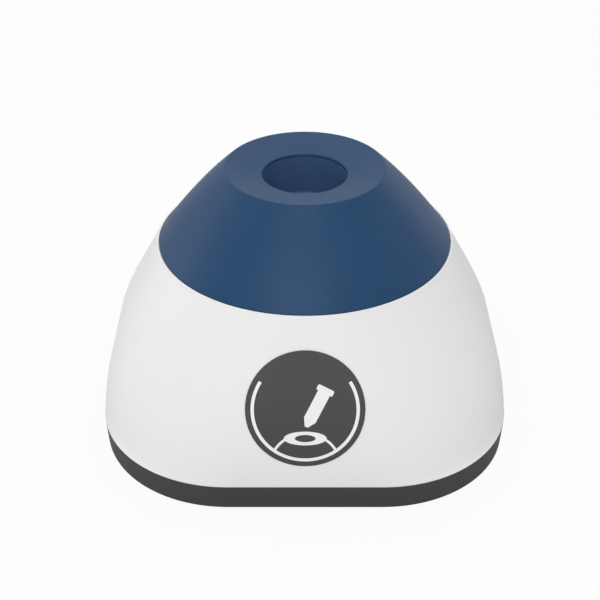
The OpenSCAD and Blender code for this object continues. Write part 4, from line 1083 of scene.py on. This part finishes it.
def tube_grid():
    """Grid of the leaning tube: along its length it is a point, a straight body and a wider cap."""
    end, body = TUBE_HALF_LENGTH, TUBE_BODY
    tip, point_height = TUBE_TIP
    cap, cap_height = TUBE_CAP
    point_end, cap_low = -end + point_height, end - cap_height
    turn = np.linspace(0, TURN / 4, 7)
    inset = TUBE_CAP_ROUND
    shoulder = np.column_stack([end - inset + inset * np.sin(turn), cap - inset + inset * np.cos(turn)])
    outline = [
        [-end, tip], [point_end, body], [point_end + 0.01, body], [-0.1, body], [0.1, body],
        [cap_low, body], [cap_low + 1e-4, cap - 0.012], [cap_low + 0.012, cap],
    ]
    along = np.vstack([outline, shoulder])
    share = np.linspace(-1, 1, 7)[None, :]
    place, half = along[:, 0][:, None], along[:, 1][:, None]
    right = TUBE_MIDDLE[0] + place * math.sin(TUBE_LEAN) + half * share * math.cos(TUBE_LEAN)
    return right, TUBE_MIDDLE[1] + place * math.cos(TUBE_LEAN) - half * share * math.sin(TUBE_LEAN)


class MIXER_OT_badge(bpy.types.Operator):
    """Build the badge film and the tube-and-cup drawing on it"""

    bl_idname = "mixer.badge"
    bl_label = "Badge"

    def execute(self, context):
        sizes = context.scene.mixer_badge
        radius, thickness = sizes.radius, sizes.thickness
        skin = FrontSkin(context.scene.mixer_housing, sizes.rise)
        spread = np.linspace(0, 0.97, 14)[:-1] * radius
        back = np.column_stack([spread, 0 * spread])
        face = np.column_stack([spread[::-1], thickness + 0 * spread])
        path = np.vstack([back, post(radius, 0, thickness, 0.12, 4)[1:-1], face])
        angle = column_angles(BADGE_COLUMNS)[None, :]
        ring, lift = path[:, 0][:, None], path[:, 1][:, None]
        film_rings = skin.points(ring * np.cos(angle), ring * np.sin(angle), lift)
        dress(solid("badge_film", film_rings), "badge_grey", "root", ["badge_plate"])
        strokes = [(stroke(-math.pi - RING_END, RING_END, RING_R), False), (cup_rim(), True)]
        strokes += [(stroke(*dome_sweep(side), DOME_R, DOME_Y), False) for side in (0, 1)]
        strokes.append((tube_grid(), False))
        low, high = thickness - 0.02, thickness + sizes.print_thickness
        grids = [inked(skin, right * radius, up * radius, low, high, wrap) for (right, up), wrap in strokes]
        dress(new_object("badge_drawing", grids), "badge_white", "root", ["badge_print"])
        return {"FINISHED"}


# ---- Socket, springs and fasteners ----


def box_grid(middle, half, edge):
    """A box with rounded upright edges: rings of its outline, closed at both ends.

    Each ring is the outline of a rounded square, stretched to the box's two half widths.
    """
    ring = outlined(np.array([[1.0, 0.0, 1 - edge / min(half[0], half[1])]]), BORE_COLUMNS)[0]
    inset = 1 - edge / half[0] * 0.3
    top = 1 - edge / half[2]
    levels = np.array([-1, -1, -top, top, 1, 1])
    spread = np.array([0, inset, 1, 1, inset, 0])
    x, y = (middle[k] + half[k] * ring[None, :, k] * spread[:, None] for k in (0, 1))
    return np.stack([x, y, middle[2] + half[2] * levels[:, None] + 0 * x], axis=-1)


class MIXER_OT_socket(bpy.types.Operator):
    """Build the power socket: its black housing, its centre pin and its sprung contact"""

    bl_idname = "mixer.socket"
    bl_label = "Power socket"

    def execute(self, context):
        nose_r, plug_r, pin_r = 4.2, 2.85, 1.05
        floor_y = JACK_BACK_Y - 9.0
        body_back = JACK_BACK_Y - 3.9
        half, top = 4.5, 10.0
        middle = [0, (body_back + JACK_FRONT_Y) / 2, JACK_LOW_Z + top / 2]
        box_half = [half, (body_back - JACK_FRONT_Y) / 2, top / 2]
        body = solid("socket_housing", box_grid(middle, box_half, 0.4))
        combine(body, laid(post(nose_r, body_back - OVERCUT, JACK_BACK_Y, 0.35)), "UNION")
        chamfer, past_y = 0.4, JACK_BACK_Y + OVERCUT
        mouth_r = plug_r + chamfer
        bore = [[0, floor_y], [plug_r, floor_y], [plug_r, JACK_BACK_Y - chamfer],
                [mouth_r, JACK_BACK_Y + 0.01], [mouth_r, past_y], [0, past_y]]
        combine(body, laid(bore), "DIFFERENCE")
        dress(body, "black_plastic", "root", ["dc_jack"])
        pin = post(pin_r, floor_y - 0.2, JACK_BACK_Y - 1.0, 0.5)
        dress(new_object("socket_pin", laid(pin)), "tinned_brass", "root")
        inner = plug_r - 0.25
        corners = stepped(inner, floor_y + 0.1, plug_r - 0.02, JACK_BACK_Y - 4, inner)
        contact = laid(rounded(corners, [0, 0, 0.06, 0.1], steps=3), True)
        dress(new_object("socket_contact", contact), "tinned_brass", "root")
        return {"FINISHED"}


class MIXER_OT_springs(bpy.types.Operator):
    """Build the four return springs with their closed end coils"""

    bl_idname = "mixer.springs"
    bl_label = "Return springs"

    def execute(self, context):
        turns, wire, radius, place = 7, 0.4, 3.3, 18.6
        low, high = SPRING_LOW_Z + wire, SPRING_TOP_Z - wire
        share = np.linspace(0, 1, turns * 44 + 1)
        pitch = 0.22 + 0.78 * smooth_step(share * turns - 0.4) * smooth_step((1 - share) * turns - 0.4)
        climb = np.cumsum(pitch) - pitch[0]
        height = low + (high - low) * climb / climb[-1]
        angle = share * turns * TURN
        coil = np.column_stack([radius * np.cos(angle), radius * np.sin(angle), height])
        rings = with_ends(swept(coil, wire, 12))
        faces = grid_faces(len(rings), 12)
        coils = [(rings + [x, y, 0], faces) for x, y in four_places(place, place)]
        springs = new_object("coil_springs", coils)
        dress(springs, "spring_wire", "root", ["return_springs"])
        kept = 1 - PRESS_TRAVEL / (SPRING_TOP_Z - SPRING_LOW_Z)
        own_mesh(springs)
        return {"FINISHED"}


class MIXER_OT_fasteners(bpy.types.Operator):
    """Finish the screws that show on the underside, with softened edges"""

    bl_idname = "mixer.fasteners"
    bl_label = "Screws"

    def execute(self, context):
        for node in ("base_screws", "ballast_screws"):
            softened_copy(node, 0.12)
        return {"FINISHED"}


class MIXER_OT_inner_parts(bpy.types.Operator):
    """Give the CAD pieces inside their finishes"""

    bl_idname = "mixer.inner_parts"
    bl_label = "Inner parts"

    def execute(self, context):
        for name, node in frame["nodes"].items():
            if not node.hide_render:
                node.data.materials.clear()
                node.data.materials.append(finish(node_slot(name)))
        return {"FINISHED"}


# ---- Stage ----

LAMP_AIM = (0, 0, 0.03)
FLOOR_GLOW = 0.94


def area_lamp(name, place, size, power):
    """A soft lamp of a width and a height at place that faces the mixer."""
    lamp = bpy.data.lights.new(name, "AREA")
    lamp.shape = "RECTANGLE"
    lamp.size, lamp.size_y = size
    lamp.energy = power
    holder = bpy.data.objects.new(name, lamp)
    holder.location = place
    toward = np.array(LAMP_AIM) - np.array(place)
    tilt = math.atan2(math.hypot(toward[0], toward[1]), -toward[2])
    holder.rotation_euler = (tilt, 0, math.atan2(toward[1], toward[0]) - math.pi / 2)
    bpy.context.scene.collection.objects.link(holder)


def white_floor(half_width):
    """A white floor: mostly plain white to the camera, with enough matt in it to keep a faint shadow."""
    span = np.linspace(-1, 1, 5) * half_width / MM
    x, y = np.meshgrid(span, span)
    grid = np.stack([x, y, 0 * x], axis=-1)
    floor = new_object("floor", [(grid, grid_faces(5, 5, wrap_columns=False))])
    material = bpy.data.materials.new("floor_white")
    material.use_nodes = True
    tree = material.node_tree
    tree.nodes.clear()
    seen = add_node(tree, "ShaderNodeLightPath", None, None, "Is Camera Ray")
    plain = add_node(tree, "ShaderNodeEmission", None, {"Color": (1.0, 1.0, 1.0), "Strength": 1.0})
    matt = add_node(tree, "ShaderNodeBsdfDiffuse", None, {"Color": (0.7, 0.7, 0.7)})
    mixed = add_node(tree, "ShaderNodeMixShader", None, {0: seen * FLOOR_GLOW, 1: matt, 2: plain})
    add_node(tree, "ShaderNodeOutputMaterial", None, {"Surface": mixed})
    floor.data.materials.append(material)


def even_sky(scene, level):
    """An even sky: white to the camera and in reflections, and at a lower level on matt surfaces."""
    world = bpy.data.worlds.new("studio_sky")
    world.use_nodes = True
    scene.world = world
    tree = world.node_tree
    tree.nodes.clear()
    paths = tree.nodes.new("ShaderNodeLightPath")
    rays = ("Is Camera Ray", "Is Glossy Ray", "Is Transmission Ray")
    camera, glossy, through = (Wire(tree, paths.outputs[ray]) for ray in rays)
    white = (camera + glossy + through).clamped()
    strength = level + white * (1 - level)
    sky = add_node(tree, "ShaderNodeBackground", None, {"Color": (1.0, 1.0, 1.0), "Strength": strength})
    add_node(tree, "ShaderNodeOutputWorld", None, {"Surface": sky})


class MIXER_OT_stage(bpy.types.Operator):
    """Set up the pale floor, the soft lamps, the sky and the camera"""

    bl_idname = "mixer.stage"
    bl_label = "Stage"

    def execute(self, context):
        scene = context.scene
        settings = scene.mixer_stage
        scene.view_settings.view_transform = "Standard"
        white_floor(settings.floor_half)
        even_sky(scene, settings.world_level)
        area_lamp("key_lamp", (-0.06, -0.55, 0.62), (0.5, 0.5), settings.key_power)
        area_lamp("top_lamp", (0.04, 0.42, 0.7), (0.5, 0.5), settings.top_power)
        area_lamp("left_lamp", (-0.5, 0.14, 0.2), (0.25, 0.3), settings.left_power)
        area_lamp("right_lamp", (0.42, 0.42, 0.15), (0.08, 0.25), settings.right_power)
        camera = bpy.data.objects.new("camera", bpy.data.cameras.new("camera"))
        camera.data.lens = settings.lens
        camera.data.clip_start = 0.01
        away = settings.distance * math.cos(settings.elevation)
        above = settings.distance * math.sin(settings.elevation)
        camera.location = (settings.aside, -away, settings.aim_height + above)
        camera.rotation_euler = (math.pi / 2 - settings.elevation, 0, 0)
        scene.collection.objects.link(camera)
        scene.camera = camera
        return {"FINISHED"}


# ---- Add-on ----

SETTINGS = {
    "mixer_housing": HousingSizes,
    "mixer_boot": BootSizes,
    "mixer_badge": BadgeSizes,
    "mixer_colours": MixerColours,
    "mixer_stage": StageSettings,
}
OPERATORS = (
    MIXER_OT_shell, MIXER_OT_pan, MIXER_OT_feet, MIXER_OT_boot, MIXER_OT_cup, MIXER_OT_badge,
    MIXER_OT_socket, MIXER_OT_springs, MIXER_OT_fasteners, MIXER_OT_inner_parts, MIXER_OT_stage,
)


class MIXER_PT_sidebar(bpy.types.Panel):
    """The mixer's builders and sizes"""

    bl_idname = "MIXER_PT_sidebar"
    bl_label = "Mini vortex mixer"
    bl_space_type = "VIEW_3D"
    bl_region_type = "UI"
    bl_category = "Mixer"

    def draw(self, context):
        for operator in OPERATORS:
            self.layout.operator(operator.bl_idname)
        for name, group in SETTINGS.items():
            box = self.layout.box()
            box.label(text=group.__doc__.split(".")[0])
            for size in group.__annotations__:
                box.prop(getattr(context.scene, name), size)


CLASSES = (*SETTINGS.values(), *OPERATORS, MIXER_PT_sidebar)


def register():
    for kind in CLASSES:
        bpy.utils.register_class(kind)
    for name, group in SETTINGS.items():
        setattr(bpy.types.Scene, name, PointerProperty(type=group))


def unregister():
    for name in SETTINGS:
        delattr(bpy.types.Scene, name)
    for kind in reversed(CLASSES):
        bpy.utils.unregister_class(kind)


def main():
    """Builds everything in order."""
    register()
    for operator in OPERATORS:
        build = getattr(bpy.ops.mixer, operator.bl_idname.split(".")[1])
        build()


if __name__ == "__main__":
    main()
